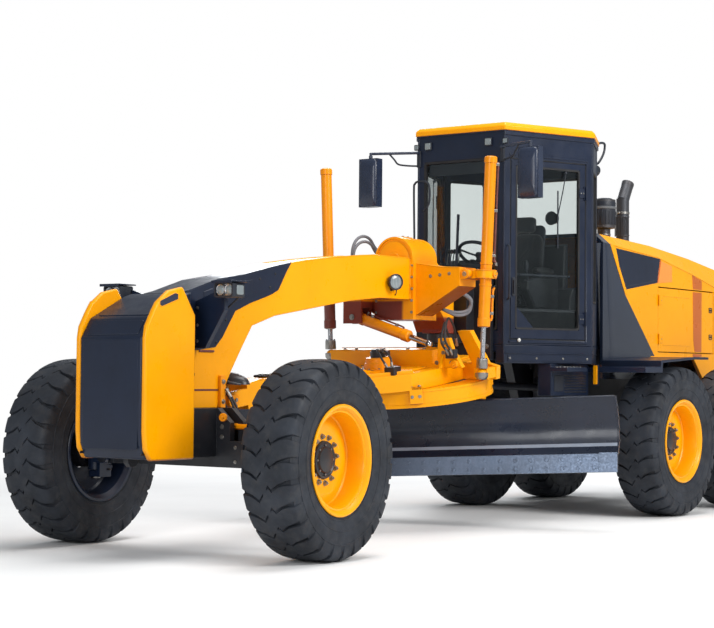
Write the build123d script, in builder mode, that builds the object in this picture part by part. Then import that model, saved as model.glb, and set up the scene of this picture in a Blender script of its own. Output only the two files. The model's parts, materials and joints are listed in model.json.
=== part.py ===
from build123d import *
import os
from math import sin, cos, radians, hypot

os.makedirs("parts", exist_ok=True)

# Motor grader. Row frame: +X forward, +Y left, +Z up, ground at Z = 0,
# X = 0 at mid-length, Y = 0 on the centre plane. All sizes in millimetres.

# ---------------------------------------------------------------- dimensions
HALF_LENGTH = 4450          # front face of the push block and rear face of the bumper
X_AXLE = 3580               # front axle
X_TANDEM = -2490            # centre of the tandem
TANDEM_PITCH = 1490         # wheel spacing in a tandem
REAR_TRACK = 2060
KINGPIN_Y = 960             # steering axes
KINGPIN_TO_WHEEL = 130      # from the steering axis to the wheel's middle plane
STEER_REST = 4.5            # degrees to the left at rest

TYRE_R = 675
TYRE_HALF_W = 205
RIM_R = 330                 # bead seat
RIM_FLANGE_R = 372
RIM_HALF_W = 186
HUB_R = 130
SPINDLE_R = 60
RUN = 0.05                  # radial running clearance of pins and shafts

LEAN_Y = 800                # wheel lean pivots
LEAN_Z = 640
LEAN_BAR_Z = 880
TIE_X = X_AXLE - 140
TIE_Z = 655

BEAM_HALF_W = 160           # gooseneck box beam
BEAM_TOP = 2195
BEAM_BOTTOM = 1867

X_HINGE = 430               # articulation pin
HINGE_R = 110
HINGE_PIN_R = 50

X_LIFT = 970                # lift cylinders
LIFT_PIVOT_Y = 650          # lateral swing pins on the saddle arms
LIFT_PIVOT_Z = 2060
LIFT_TOP_Y, LIFT_TOP_Z = 823, 3000
LIFT_BARREL_R = 46
LIFT_ROD_R = 20
BALL_LEFT = (970, 748, 1262)
BALL_RIGHT = (970, -748, 1418)

PITCH = 8.1                 # drawbar pitched up at the rear, blade raised
BALL_X, BALL_Z = 3280, 1060     # drawbar's front ball
CIRCLE_BACK = 2380          # ball to circle centre, along the drawbar
CIRCLE_TURN = 17.7          # blade angle at rest
CIRCLE_R = 680
CIRCLE_HOLE_R = 500
CIRCLE_LOW, CIRCLE_HIGH = -331, -191    # circle, measured from the drawbar's axis plane
EDGE_LOW = -991             # cutting edge tip, below the drawbar's axis plane
BLADE_HEIGHT = 604
BLADE_HALF_L = 1620
BLADE_SHIFT = 64            # towards the left at rest
TIP_X, TIP_C = -265, -640   # blade tip pivot, in the circle's frame
SHIFT_X = 1180              # centre-shift cylinder

CAB_FRONT_X, CAB_FRONT_Y = 130, 445
CAB_WIDE_X, CAB_WIDE_Y = -770, 800
CAB_REAR_X, CAB_REAR_Y = -1290, 560
CAB_SKIRT_Z = 1360
CAB_WALL = 50
CAB_FLOOR_Z = 1455
CAB_WALL_Z = 1515
CAB_TOP_Z = 3340
ROOF_TOP_Z = 3412

HOOD_FRONT_X, HOOD_REAR_X = -1340, -4300
HOOD_HALF_W = 600
HOOD_TOP_HALF_W = 500
HOOD_SKIN = 30
HOOD_LOW_Z = 1230

WORLD = Location()


# ---------------------------------------------------------------- shape helpers
def block(x0, x1, y0, y1, z0, z1, frame=WORLD, mode=Mode.ADD):
    """Box between two corners, in a frame."""
    with Locations(frame * Location(((x0 + x1) / 2, (y0 + y1) / 2, (z0 + z1) / 2))):
        Box(abs(x1 - x0), abs(y1 - y0), abs(z1 - z0), mode=mode)


def bar(p, q, r, frame=WORLD, mode=Mode.ADD):
    """Round bar from point p to point q, in a frame."""
    a, d = Vector(*p), Vector(*q) - Vector(*p)
    with Locations(frame * Plane(origin=a, z_dir=d).location):
        Cylinder(r, d.length, align=(Align.CENTER, Align.CENTER, Align.MIN), mode=mode)


def plate(points, plane, amount, both=False, mode=Mode.ADD):
    """Flat plate with a straight-edged outline."""
    with BuildSketch(plane) as outline:
        Polygon(*points, align=None)
    extrude(outline.sketch, amount=amount, both=both, mode=mode)


def side(y):
    """Plane at a given Y: local x is X, local y is Z, normal -Y."""
    return Plane.XZ.offset(-y)


def across(x):
    """Plane at a given X: local x is Y, local y is Z, normal +X."""
    return Plane.YZ.offset(x)


def level(z):
    """Plane at a given Z."""
    return Plane.XY.offset(z)


# frames of the drawbar and of the circle
EX = Vector(cos(radians(PITCH)), 0, -sin(radians(PITCH)))     # forward along the drawbar
EZ = Vector(sin(radians(PITCH)), 0, cos(radians(PITCH)))      # square to the drawbar
EY = Vector(0, 1, 0)
BALL = Vector(BALL_X, 0, BALL_Z)
DRAW = Plane(origin=BALL, x_dir=EX, z_dir=EZ).location
DRAW_SIDE = Plane(origin=BALL, x_dir=EX, z_dir=EY * -1)
CENTRE = BALL - EX * CIRCLE_BACK
KX = EX * cos(radians(CIRCLE_TURN)) + EY * sin(radians(CIRCLE_TURN))      # blade's front normal
KY = EY * cos(radians(CIRCLE_TURN)) - EX * sin(radians(CIRCLE_TURN))      # towards the blade's left end
KNIFE = Plane(origin=CENTRE, x_dir=KX, z_dir=EZ).location


def draw_point(a, b, c):
    return BALL + EX * a + EY * b + EZ * c


def draw_front(a):
    """Plane across the drawbar: local x is left, local y is up."""
    return Plane(origin=draw_point(a, 0, 0), x_dir=EY, z_dir=EX)


built = {}

# ---------------------------------------------------------------- wheels
# tyre half section: distance from the middle plane, radius
TYRE_SECTION = [
    (-170, RIM_R + 1), (170, RIM_R + 1), (170, 380), (196, 430), (TYRE_HALF_W, 520),
    (203, 610), (186, 655), (120, 671), (0, TYRE_R), (-120, 671), (-186, 655),
    (-203, 610), (-TYRE_HALF_W, 520), (-196, 430), (-170, 380),
]
# rim half section: distance outboard of the middle plane, radius
RIM_SECTION = [
    (-RIM_HALF_W, RIM_FLANGE_R), (-RIM_HALF_W, RIM_R - 14), (-6, RIM_R - 14), (14, 180),
    (14, HUB_R - 10), (-60, HUB_R - 10), (-60, SPINDLE_R + RUN), (52, SPINDLE_R + RUN),
    (52, HUB_R), (32, HUB_R), (32, 180), (14, RIM_R - 14), (RIM_HALF_W, RIM_R - 14),
    (RIM_HALF_W, RIM_FLANGE_R), (174, RIM_FLANGE_R), (174, RIM_R), (-174, RIM_R),
    (-174, RIM_FLANGE_R),
]
# name, x and y of the steering axis or the wheel, outboard side, steered at rest, axis to wheel
WHEELS = [
    ("front_left", X_AXLE, KINGPIN_Y, 1, STEER_REST, KINGPIN_TO_WHEEL),
    ("front_right", X_AXLE, -KINGPIN_Y, -1, STEER_REST, KINGPIN_TO_WHEEL),
    ("mid_left", X_TANDEM + TANDEM_PITCH / 2, REAR_TRACK / 2, 1, 0, 0),
    ("mid_right", X_TANDEM + TANDEM_PITCH / 2, -REAR_TRACK / 2, -1, 0, 0),
    ("rear_left", X_TANDEM - TANDEM_PITCH / 2, REAR_TRACK / 2, 1, 0, 0),
    ("rear_right", X_TANDEM - TANDEM_PITCH / 2, -REAR_TRACK / 2, -1, 0, 0),
]
for name, x, y, out, steer, reach in WHEELS:
    outboard = Vector(-sin(radians(steer)) * out, cos(radians(steer)) * out, 0)
    centre = Vector(x, y, TYRE_R) + outboard * reach
    plane = Plane(origin=centre, x_dir=outboard, z_dir=outboard.cross(Vector(0, 0, 1)))
    with BuildPart() as tyre:
        with BuildSketch(plane):
            Polygon(*TYRE_SECTION, align=None)
        revolve(axis=Axis(centre, outboard))
    built["tyre_" + name] = tyre
    with BuildPart() as rim:
        with BuildSketch(plane):
            Polygon(*RIM_SECTION, align=None)
        revolve(axis=Axis(centre, outboard))
    built["rim_" + name] = rim

# ---------------------------------------------------------------- front axle
with BuildPart() as front_axle:
    block(X_AXLE - 100, X_AXLE + 100, -690, 690, 600, 780)
    for s in (1, -1):
        block(X_AXLE - 60, X_AXLE + 60, s * 690, s * LEAN_Y, LEAN_Z - 48, LEAN_Z + 48)
        bar((X_AXLE - 60, s * LEAN_Y, LEAN_Z), (X_AXLE + 60, s * LEAN_Y, LEAN_Z), 48)
        bar((X_AXLE - 60, s * LEAN_Y, LEAN_Z), (X_AXLE + 60, s * LEAN_Y, LEAN_Z), 35 + RUN,
            mode=Mode.SUBTRACT)
        # carrier plates up to the gooseneck, either side of the lean bar
        plate([(-400, 770), (400, 770), (400, 910), (290, 1008), (-290, 1008), (-400, 910)],
              across(X_AXLE + s * 50), s * 50)
    # carrier between the axle and the push block
    plate([(-280, 676), (280, 676), (280, 1008), (-280, 1008)], across(X_AXLE + 100), 277)
    # steering cylinder body on the back of the beam
    block(TIE_X, X_AXLE - 100, -200, 200, TIE_Z - 40, TIE_Z + 40)
    bar((TIE_X, -260, TIE_Z), (TIE_X, 260, TIE_Z), 50)
    bar((TIE_X, -270, TIE_Z), (TIE_X, 270, TIE_Z), 22 + RUN, mode=Mode.SUBTRACT)
built["front_axle"] = front_axle

with BuildPart() as tie_rod:
    bar((TIE_X, -945, TIE_Z), (TIE_X, 945, TIE_Z), 22)
    for s in (1, -1):
        bar((TIE_X, s * 958, TIE_Z - 25), (TIE_X, s * 958, TIE_Z + 25), 28)
built["tie_rod"] = tie_rod

with BuildPart() as lean_bar:
    bar((X_AXLE, -LEAN_Y, LEAN_BAR_Z), (X_AXLE, LEAN_Y, LEAN_BAR_Z), 22)
    for s in (1, -1):
        bar((X_AXLE - 22, s * LEAN_Y, LEAN_BAR_Z), (X_AXLE + 22, s * LEAN_Y, LEAN_BAR_Z), 36)
        bar((X_AXLE - 22, s * LEAN_Y, LEAN_BAR_Z), (X_AXLE + 22, s * LEAN_Y, LEAN_BAR_Z), 18 + RUN,
            mode=Mode.SUBTRACT)
built["lean_bar"] = lean_bar

for name, s in (("left", 1), ("right", -1)):
    with BuildPart() as lean_yoke:
        # upright plate outboard of the axle's end
        block(X_AXLE - 60, X_AXLE + 60, s * 862, s * 892, 485, 912)
        block(X_AXLE - 105, X_AXLE + 105, s * 862, s * 892, 596, 690)
        for f in (1, -1):
            # ears on the lean pin
            block(X_AXLE + f * 66, X_AXLE + f * 105, s * LEAN_Y, s * 862, LEAN_Z - 48, LEAN_Z + 48)
            bar((X_AXLE + f * 66, s * LEAN_Y, LEAN_Z), (X_AXLE + f * 105, s * LEAN_Y, LEAN_Z), 48)
            # clevis of the lean bar
            block(X_AXLE + f * 28, X_AXLE + f * 60, s * 764, s * 870, 846, 912)
        bar((X_AXLE - 105, s * LEAN_Y, LEAN_Z), (X_AXLE + 105, s * LEAN_Y, LEAN_Z), 35)
        bar((X_AXLE - 60, s * LEAN_Y, LEAN_BAR_Z), (X_AXLE + 60, s * LEAN_Y, LEAN_BAR_Z), 18)
        # kingpin between its two lugs
        for z0, z1 in ((485, 530), (820, 865)):
            block(X_AXLE - 52, X_AXLE + 52, s * 880, s * KINGPIN_Y, z0, z1)
            bar((X_AXLE, s * KINGPIN_Y, z0), (X_AXLE, s * KINGPIN_Y, z1), 52)
        bar((X_AXLE, s * KINGPIN_Y, 485), (X_AXLE, s * KINGPIN_Y, 865), 30)
        # notch that the steering arm swings through
        block(X_AXLE - 120, X_AXLE - 12, s * 850, s * 900, 532, 574, mode=Mode.SUBTRACT)
    built["lean_yoke_" + name] = lean_yoke

    turn = STEER_REST
    steered = Location((X_AXLE, s * KINGPIN_Y, 0), (0, 0, turn))
    with BuildPart() as knuckle:
        bar((0, 0, 536), (0, 0, 814), 58, frame=steered)
        # steering arm to the rear
        plate([(-168, s * 24), (-168, s * -20), (-34, s * -30), (34, s * -30), (34, s * 40)],
              Plane(steered).offset(540), 24)
        bar((0, 0, 500), (0, 0, 850), 30 + RUN, frame=steered, mode=Mode.SUBTRACT)
        bar((0, s * 42, TYRE_R), (0, s * (KINGPIN_TO_WHEEL + 40), TYRE_R), SPINDLE_R, frame=steered)
    built["knuckle_" + name] = knuckle

# ---------------------------------------------------------------- front frame
# side outline of the gooseneck: X, Z
GOOSENECK = [
    (3955, 1008), (3546, 1008), (3386, 1273), (3277, 1431), (3156, 1599), (2890, 1680),
    (2591, 1727), (2280, 1776), (1958, 1826), (1554, 1864), (1130, BEAM_BOTTOM),
    (760, BEAM_BOTTOM), (640, 1740), (560, 1612), (560, 1990), (640, 2090), (740, BEAM_TOP),
    (1628, BEAM_TOP), (1830, 2179), (2094, 2152), (2350, 2122), (2633, 2083), (2950, 2021),
    (3240, 1956), (3550, 1905), (3860, 1812), (3955, 1790),
]
with BuildPart() as gooseneck:
    plate(GOOSENECK, Plane.XZ, BEAM_HALF_W, both=True)
    # hinge barrel at the rear
    block(X_HINGE, 575, -90, 90, 1605, 1995)
    bar((X_HINGE, 0, 1605), (X_HINGE, 0, 1995), HINGE_R)
    bar((X_HINGE, 0, 1500), (X_HINGE, 0, 2100), HINGE_PIN_R + RUN, mode=Mode.SUBTRACT)
    # foot on the axle, and the bracket that holds the drawbar's ball
    block(3470, 3600, -140, 140, 1008, 1180)
    block(3420, 3470, -50, 50, BALL_Z - 104, 1180)
    for z0, z1 in ((BALL_Z - 104, BALL_Z - 78), (BALL_Z + 78, BALL_Z + 104)):
        block(BALL_X, 3440, -50, 50, z0, z1)
        bar((BALL_X, 0, z0), (BALL_X, 0, z1), 50)
        bar((BALL_X, 0, z0), (BALL_X, 0, z1), 25 + RUN, mode=Mode.SUBTRACT)
built["gooseneck"] = gooseneck

# saddle: sleeve round the beam with an arched top, and arms to the lift cylinders
SADDLE_ARM = [
    (-LIFT_PIVOT_Y + 40, 2118), (-430, 2125), (-190, 2160), (190, 2160), (430, 2125),
    (LIFT_PIVOT_Y - 40, 2118), (LIFT_PIVOT_Y - 40, 1966), (200, 1738), (60, 1697), (-60, 1697),
    (-200, 1738), (-LIFT_PIVOT_Y + 40, 1966),
]
with BuildPart() as saddle:
    plate(SADDLE_ARM, across(850), 240)
    block(790, 1130, -192, 192, 1700, 2190)
    bar((790, 0, 2190), (1130, 0, 2190), 190)
    block(780, 1140, -BEAM_HALF_W - 1, BEAM_HALF_W + 1, BEAM_BOTTOM - 1, BEAM_TOP + 1,
          mode=Mode.SUBTRACT)
    for s in (1, -1):
        for x0, x1 in ((866, 912), (1028, 1074)):
            block(x0, x1, s * (LIFT_PIVOT_Y - 45), s * LIFT_PIVOT_Y, LIFT_PIVOT_Z - 40, LIFT_PIVOT_Z + 40)
            bar((x0, s * LIFT_PIVOT_Y, LIFT_PIVOT_Z), (x1, s * LIFT_PIVOT_Y, LIFT_PIVOT_Z), 40)
        bar((866, s * LIFT_PIVOT_Y, LIFT_PIVOT_Z), (1074, s * LIFT_PIVOT_Y, LIFT_PIVOT_Z), 22)
    # lug of the centre-shift cylinder, under the right arm
    for x0, x1 in ((SHIFT_X - 75, SHIFT_X - 52), (SHIFT_X + 52, SHIFT_X + 75)):
        block(x0, x1, -420, -240, 1670, 1880)
    block(1088, SHIFT_X + 75, -420, -240, 1800, 1880)
    bar((SHIFT_X - 75, -330, 1722), (SHIFT_X + 75, -330, 1722), 22)
built["saddle"] = saddle

# push block in front: black core between two yellow side plates
CORE = [
    (4150, 672), (4400, 672), (HALF_LENGTH - 6, 770), (HALF_LENGTH, 900), (HALF_LENGTH, 1480),
    (4360, 1618), (4040, 1775), (3957, 1800), (3957, 672),
]
SIDE_PLATE = [
    (3957, 665), (4390, 665), (4440, 740), (4452, 860), (4452, 1480), (4438, 1560), (4380, 1660),
    (4340, 1720), (4230, 1800), (4090, 1830), (3957, 1640),
]
with BuildPart() as front_counterweight:
    plate(CORE, Plane.XZ, 280, both=True)
built["front_counterweight"] = front_counterweight
with BuildPart() as front_lamps:
    for s in (1, -1):
        # bracket off the gooseneck's side, the lamp's housing and its lid
        plate([(s * BEAM_HALF_W, 1430), (s * 260, 1430), (s * 430, 1690), (s * 430, 1840), (s * BEAM_HALF_W, 1745)],
              across(3765), 25)
        block(3760, 3900, s * 430, s * 600, 1762, 1868)
        block(3750, 3925, s * 425, s * 615, 1868, 1876)
built["front_lamps"] = front_lamps
with BuildPart() as counterweight_plates:
    for s in (1, -1):
        plate(SIDE_PLATE, side(s * 281), -s * 39)
built["counterweight_plates"] = counterweight_plates

# ---------------------------------------------------------------- drawbar and circle
with BuildPart() as drawbar_ball:
    with Locations(BALL):
        Sphere(66)
    bar((BALL_X, 0, BALL_Z - 104), (BALL_X, 0, BALL_Z + 104), 25)
    bar((0, -112, 0), (0, 112, 0), 28, frame=DRAW)
built["drawbar_ball"] = drawbar_ball

with BuildPart() as drawbar:
    # front fork and tongue
    for s in (1, -1):
        block(-220, 0, s * 72, s * 108, -60, 60, frame=DRAW)
        bar((0, s * 72, 0), (0, s * 108, 0), 60, frame=DRAW)
        bar((0, s * 60, 0), (0, s * 120, 0), 28 + RUN, frame=DRAW, mode=Mode.SUBTRACT)
    plate([(-150, 90), (-300, 108), (-1500, 20), (-1900, -57), (-2960, -57), (-2960, -190),
           (-1750, -190), (-1500, -130), (-300, -108), (-150, -90)], DRAW_SIDE, 108, both=True)
    # frame over the circle: outline a, b
    plate([(-1500, 110), (-1800, 420), (-2100, 470), (-2700, 470), (-2960, 250), (-2960, -250),
           (-2700, -470), (-2100, -470), (-1800, -420), (-1500, -110)],
          Plane(origin=draw_point(0, 0, -190), x_dir=EX, z_dir=EZ), 133)
    # cross beam that carries the right lift ball
    block(-2420, -2250, -690, 330, -57, 75, frame=DRAW)
    # tower for the centre-shift cylinder
    plate([(290, -60), (640, -60), (560, 80), (530, 176), (430, 176), (405, -10)],
          draw_front(-2250), 46)
    # leg behind the left lift cylinder, and the lug that carries its ball
    plate([(400, -190), (780, -190), (790, -85), (700, -60), (560, 205), (440, 205), (560, -60), (400, -60)],
          draw_front(-2540), 60)
    block(-2490, -2345, 660, 780, -170, -85, frame=DRAW)
    for x, y, z in (BALL_LEFT, BALL_RIGHT):
        with Locations((x, y, z)):
            Sphere(44)
    bar((-2350, 748, -126), (-2315, 748, -126), 26, frame=DRAW)
    bar((-2337, -680, 29), (-2337, -748, 29), 26, frame=DRAW)
built["drawbar"] = drawbar

ARM_Y = 500
TIP_HANGER = (-560, -385)       # x', c of the tip cylinder's upper pin
TIP_LEVER = (-290, -480)        # x', c of its lower pin


def knife_side(y):
    """Plane square to the blade: local x is the blade's front direction, local y is up."""
    return Plane(origin=CENTRE + KY * y, x_dir=KX, z_dir=KY * -1)


with BuildPart() as circle:
    with Locations(KNIFE * Location((0, 0, CIRCLE_LOW))):
        Cylinder(CIRCLE_R, CIRCLE_HIGH - CIRCLE_LOW - 2, align=(Align.CENTER, Align.CENTER, Align.MIN))
        Cylinder(CIRCLE_HOLE_R, 400, align=(Align.CENTER, Align.CENTER, Align.MIN), mode=Mode.SUBTRACT)
    # arms behind the blade, with the tip pivots
    for s in (1, -1):
        plate([(-180, CIRCLE_LOW + 20), (-430, CIRCLE_LOW + 20), (-430, -480), (-340, -660), (-300, -690),
               (-235, -690), (-220, -640), (-225, -600), (-290, -500)], knife_side(s * ARM_Y), 30, both=True)
        bar((TIP_X, s * (ARM_Y - 40), TIP_C), (TIP_X, s * (ARM_Y + 40), TIP_C), 30 + RUN, frame=KNIFE,
            mode=Mode.SUBTRACT)
        # hanger of the tip cylinder
        block(-595, -525, s * 32, s * 52, -425, CIRCLE_LOW + 10, frame=KNIFE)
    bar((TIP_HANGER[0], -52, TIP_HANGER[1]), (TIP_HANGER[0], 52, TIP_HANGER[1]), 14, frame=KNIFE)
built["circle"] = circle

with BuildPart() as blade_carrier:
    for s in (1, -1):
        # end plates with the two slide shoes
        for y in (ARM_Y - 62, ARM_Y + 62):
            plate([(-300, -680), (-300, -600), (-215, -555), (-188, -555), (-188, -870), (-310, -870),
                   (-310, -740)], knife_side(s * y), 20, both=True)
        block(-215, -188, s * (ARM_Y - 82), s * (ARM_Y + 82), -600, -555, frame=KNIFE)
        block(-215, -188, s * (ARM_Y - 82), s * (ARM_Y + 82), -870, -720, frame=KNIFE)
        # lever of the tip cylinder
        plate([(-300, -665), (-322, -600), (-318, -456), (-262, -456), (-236, -600), (-236, -665)],
              knife_side(s * 32), 10, both=True)
    bar((TIP_X, -582, TIP_C), (TIP_X, 582, TIP_C), 30, frame=KNIFE)
    bar((TIP_LEVER[0], -42, TIP_LEVER[1]), (TIP_LEVER[0], 42, TIP_LEVER[1]), 12, frame=KNIFE)
    # barrel of the side-shift cylinder
    block(-215, -188, -450, 450, -850, -730, frame=KNIFE)
    bar((-262, -600, -800), (-262, 600, -800), 42, frame=KNIFE)
    bar((-262, -610, -800), (-262, 610, -800), 20 + RUN, frame=KNIFE, mode=Mode.SUBTRACT)
built["blade_carrier"] = blade_carrier

# moldboard section in the circle's frame: front face then back face (x', c)
TOP_C = EDGE_LOW + BLADE_HEIGHT
FACE = [(-30, EDGE_LOW + 150), (-92, EDGE_LOW + 230), (-124, EDGE_LOW + 320), (-130, EDGE_LOW + 410),
        (-112, EDGE_LOW + 500), (-66, TOP_C)]
BACK = [(-92, TOP_C), (-138, EDGE_LOW + 505), (-156, EDGE_LOW + 410), (-150, EDGE_LOW + 315),
        (-114, EDGE_LOW + 215), (-52, EDGE_LOW + 135)]
SHIFTED = CENTRE + KY * BLADE_SHIFT
with BuildPart() as moldboard:
    plate(FACE + BACK, Plane(origin=SHIFTED, x_dir=KX, z_dir=KY * -1), BLADE_HALF_L, both=True)
    # rails behind, which the shoes hold
    block(-182, -150, -1150 + BLADE_SHIFT, 1150 + BLADE_SHIFT, -600, -560, frame=KNIFE)
    block(-182, -112, -1150 + BLADE_SHIFT, 1150 + BLADE_SHIFT, -800, -745, frame=KNIFE)
    # rod of the side-shift cylinder and its bracket
    bar((-262, -1150, -800), (-262, 60, -800), 20, frame=KNIFE)
    block(-290, -112, -1180, -1120, -830, -760, frame=KNIFE)
built["moldboard"] = moldboard
with BuildPart() as cutting_edge:
    plate([(-2, EDGE_LOW), (18, EDGE_LOW + 6), (-30.5, EDGE_LOW + 149), (-52.5, EDGE_LOW + 134)],
          Plane(origin=SHIFTED, x_dir=KX, z_dir=KY * -1), BLADE_HALF_L, both=True)
built["cutting_edge"] = cutting_edge

# tip cylinder: from the circle's hanger down to the carrier's lever
TIP_RUN = Vector(TIP_LEVER[0] - TIP_HANGER[0], 0, TIP_LEVER[1] - TIP_HANGER[1])
TIP_LONG = TIP_RUN.length


def tip_at(d, y=0):
    p = TIP_RUN.normalized() * d
    return (TIP_HANGER[0] + p.X, y, TIP_HANGER[1] + p.Z)


with BuildPart() as tip_barrel:
    bar((TIP_HANGER[0], -27, TIP_HANGER[1]), (TIP_HANGER[0], 27, TIP_HANGER[1]), 30, frame=KNIFE)
    bar(tip_at(24), tip_at(215), 26, frame=KNIFE)
    bar(tip_at(45), tip_at(230), 14 + RUN, frame=KNIFE, mode=Mode.SUBTRACT)
    bar((TIP_HANGER[0], -30, TIP_HANGER[1]), (TIP_HANGER[0], 30, TIP_HANGER[1]), 14 + RUN, frame=KNIFE,
        mode=Mode.SUBTRACT)
built["tip_barrel"] = tip_barrel
with BuildPart() as tip_rod:
    bar(tip_at(70), tip_at(TIP_LONG - 30), 14, frame=KNIFE)
    bar(tip_at(TIP_LONG, -15), tip_at(TIP_LONG, 15), 36, frame=KNIFE)
    bar(tip_at(TIP_LONG, -15), tip_at(TIP_LONG, 15), 26, frame=KNIFE, mode=Mode.SUBTRACT)
built["tip_rod"] = tip_rod

# centre-shift cylinder: from the saddle's lug to the side of the drawbar's tower
SHIFT_TOP = Vector(SHIFT_X, -330, 1722)
SHIFT_DIR = (Vector(SHIFT_X, 400, 1495) - SHIFT_TOP).normalized()


def shift_at(d):
    return tuple(SHIFT_TOP + SHIFT_DIR * d)


with BuildPart() as shift_barrel:
    bar((SHIFT_X - 47, -330, 1722), (SHIFT_X + 47, -330, 1722), 50)
    bar(shift_at(40), shift_at(540), 45)
    bar((SHIFT_X - 60, -330, 1722), (SHIFT_X + 60, -330, 1722), 22 + RUN, mode=Mode.SUBTRACT)
    bar(shift_at(52), shift_at(600), 24 + RUN, mode=Mode.SUBTRACT)
built["shift_barrel"] = shift_barrel
with BuildPart() as shift_rod:
    bar(shift_at(225), shift_at(745), 24)
    with Locations(shift_at(745)):
        Sphere(30)
built["shift_rod"] = shift_rod

# lift cylinders, their gimbal rings and rods
for name, s, ball in (("left", 1, BALL_LEFT), ("right", -1, BALL_RIGHT)):
    top = Vector(X_LIFT, s * LIFT_TOP_Y, LIFT_TOP_Z)
    low = Vector(X_LIFT, s * 748, BALL_LEFT[2])
    down = (low - top).normalized()
    at = lambda z: tuple(top + down * ((top.Z - z) / -down.Z))
    pivot = Vector(X_LIFT, top.Y + (low.Y - top.Y) * (top.Z - LIFT_PIVOT_Z) / (top.Z - low.Z), LIFT_PIVOT_Z)
    with BuildPart() as trunnion:
        ring = Plane(origin=pivot, z_dir=down * -1, x_dir=Vector(1, 0, 0)).location
        with Locations(ring):
            Cylinder(84, 66)
        block(922, 1018, s * LIFT_PIVOT_Y, s * (LIFT_PIVOT_Y + 80), LIFT_PIVOT_Z - 33, LIFT_PIVOT_Z + 33)
        bar((922, s * LIFT_PIVOT_Y, LIFT_PIVOT_Z), (1018, s * LIFT_PIVOT_Y, LIFT_PIVOT_Z), 38)
        with Locations(ring):
            Cylinder(60, 120, mode=Mode.SUBTRACT)
        bar((0, -100, 0), (0, 100, 0), 14 + RUN, frame=ring, mode=Mode.SUBTRACT)
        bar((900, s * LIFT_PIVOT_Y, LIFT_PIVOT_Z), (1040, s * LIFT_PIVOT_Y, LIFT_PIVOT_Z), 22 + RUN,
            mode=Mode.SUBTRACT)
    built["lift_trunnion_" + name] = trunnion
    with BuildPart() as lift_barrel:
        bar(at(1640), at(LIFT_TOP_Z), LIFT_BARREL_R)
        bar((0, -70, 0), (0, 70, 0), 14, frame=ring)
        bar(at(1500), at(LIFT_TOP_Z - 40), LIFT_ROD_R + RUN, mode=Mode.SUBTRACT)
    built["lift_barrel_" + name] = lift_barrel
    foot = ball[2] + 54
    with BuildPart() as lift_rod:
        bar(at(foot + 60), at(2880), LIFT_ROD_R)
        bar(at(foot), at(foot + 70), 42)
    built["lift_rod_" + name] = lift_rod

# ---------------------------------------------------------------- rear frame and tandem
with BuildPart() as rear_frame:
    # rails: X, Z
    for s in (1, -1):
        plate([(150, 1385), (150, 1450), (-1400, 1450), (-1500, 1320), (-4250, 1320), (-4250, 900),
               (-1350, 900), (-1150, 1385)], side(s * 250), -s * 90)
    block(131, 175, -340, 340, 1385, 2075)
    block(-1400, -1200, -250, 250, 1390, 1450)
    block(-3300, -3100, -250, 250, 900, 1125)
    block(-1800, -1600, -250, 250, 900, 1125)
    # hinge tower in front of the cab
    block(170, 290, -170, 170, 1530, 2075)
    for z0, z1 in ((1525, 1598), (2002, 2075)):
        block(280, X_HINGE, -110, 110, z0, z1)
        bar((X_HINGE, 0, z0), (X_HINGE, 0, z1), 115)
    bar((X_HINGE, 0, 1525), (X_HINGE, 0, 2075), HINGE_PIN_R)
    # rear bumper with a vertical tow-pin bore
    block(-HALF_LENGTH, -4250, -560, 560, 760, 1180)
    block(-4500, -4300, -160, 160, 880, 1060, mode=Mode.SUBTRACT)
    with Locations((-4390, 0, 970)):
        Cylinder(22, 600, mode=Mode.SUBTRACT)
built["rear_frame"] = rear_frame

with BuildPart() as tandem_axle:
    for s in (1, -1):
        plate([(X_TANDEM - 900, 560), (X_TANDEM - 840, 520), (X_TANDEM + 840, 520), (X_TANDEM + 900, 560),
               (X_TANDEM + 900, 790), (X_TANDEM + 820, 850), (X_TANDEM - 820, 850), (X_TANDEM - 900, 790)],
              side(s * 600), -s * 190)
        for f in (1, -1):
            x = X_TANDEM + f * TANDEM_PITCH / 2
            bar((x, s * 780, TYRE_R), (x, s * 960, TYRE_R), 105)
            bar((x, s * 780, TYRE_R), (x, s * (REAR_TRACK / 2 + 40), TYRE_R), SPINDLE_R)
    bar((X_TANDEM, -610, 700), (X_TANDEM, 610, 700), 150)
    block(X_TANDEM - 200, X_TANDEM + 200, -240, 240, 560, 899)
built["tandem_axle"] = tandem_axle

with BuildPart() as engine_block:
    block(-3300, -1800, -245, 245, 1125, 1950)
built["engine_block"] = engine_block

# ---------------------------------------------------------------- hood
# sections: x, half width, bevel height, top half width, top height
HOOD_SECTIONS = [
    (HOOD_FRONT_X, HOOD_HALF_W, 2475, HOOD_TOP_HALF_W, 2564),
    (-2450, HOOD_HALF_W, 2402, HOOD_TOP_HALF_W, 2515),
    (-3300, HOOD_HALF_W, 2258, HOOD_TOP_HALF_W, 2438),
    (HOOD_REAR_X, HOOD_HALF_W, 2050, HOOD_TOP_HALF_W, 2313),
]


def hood_body(inset):
    """Loft through the hood's sections, pulled in by the skin thickness."""
    for x, w, zb, tw, zt in HOOD_SECTIONS:
        with BuildSketch(across(x + inset)) as section:
            Polygon((-w + inset, HOOD_LOW_Z - (100 if inset else 0)), (w - inset, HOOD_LOW_Z - (100 if inset else 0)),
                    (w - inset, zb - inset * 0.6), (tw - inset * 0.6, zt - inset),
                    (-tw + inset * 0.6, zt - inset), (-w + inset, zb - inset * 0.6), align=None)
        yield section.sketch


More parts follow.
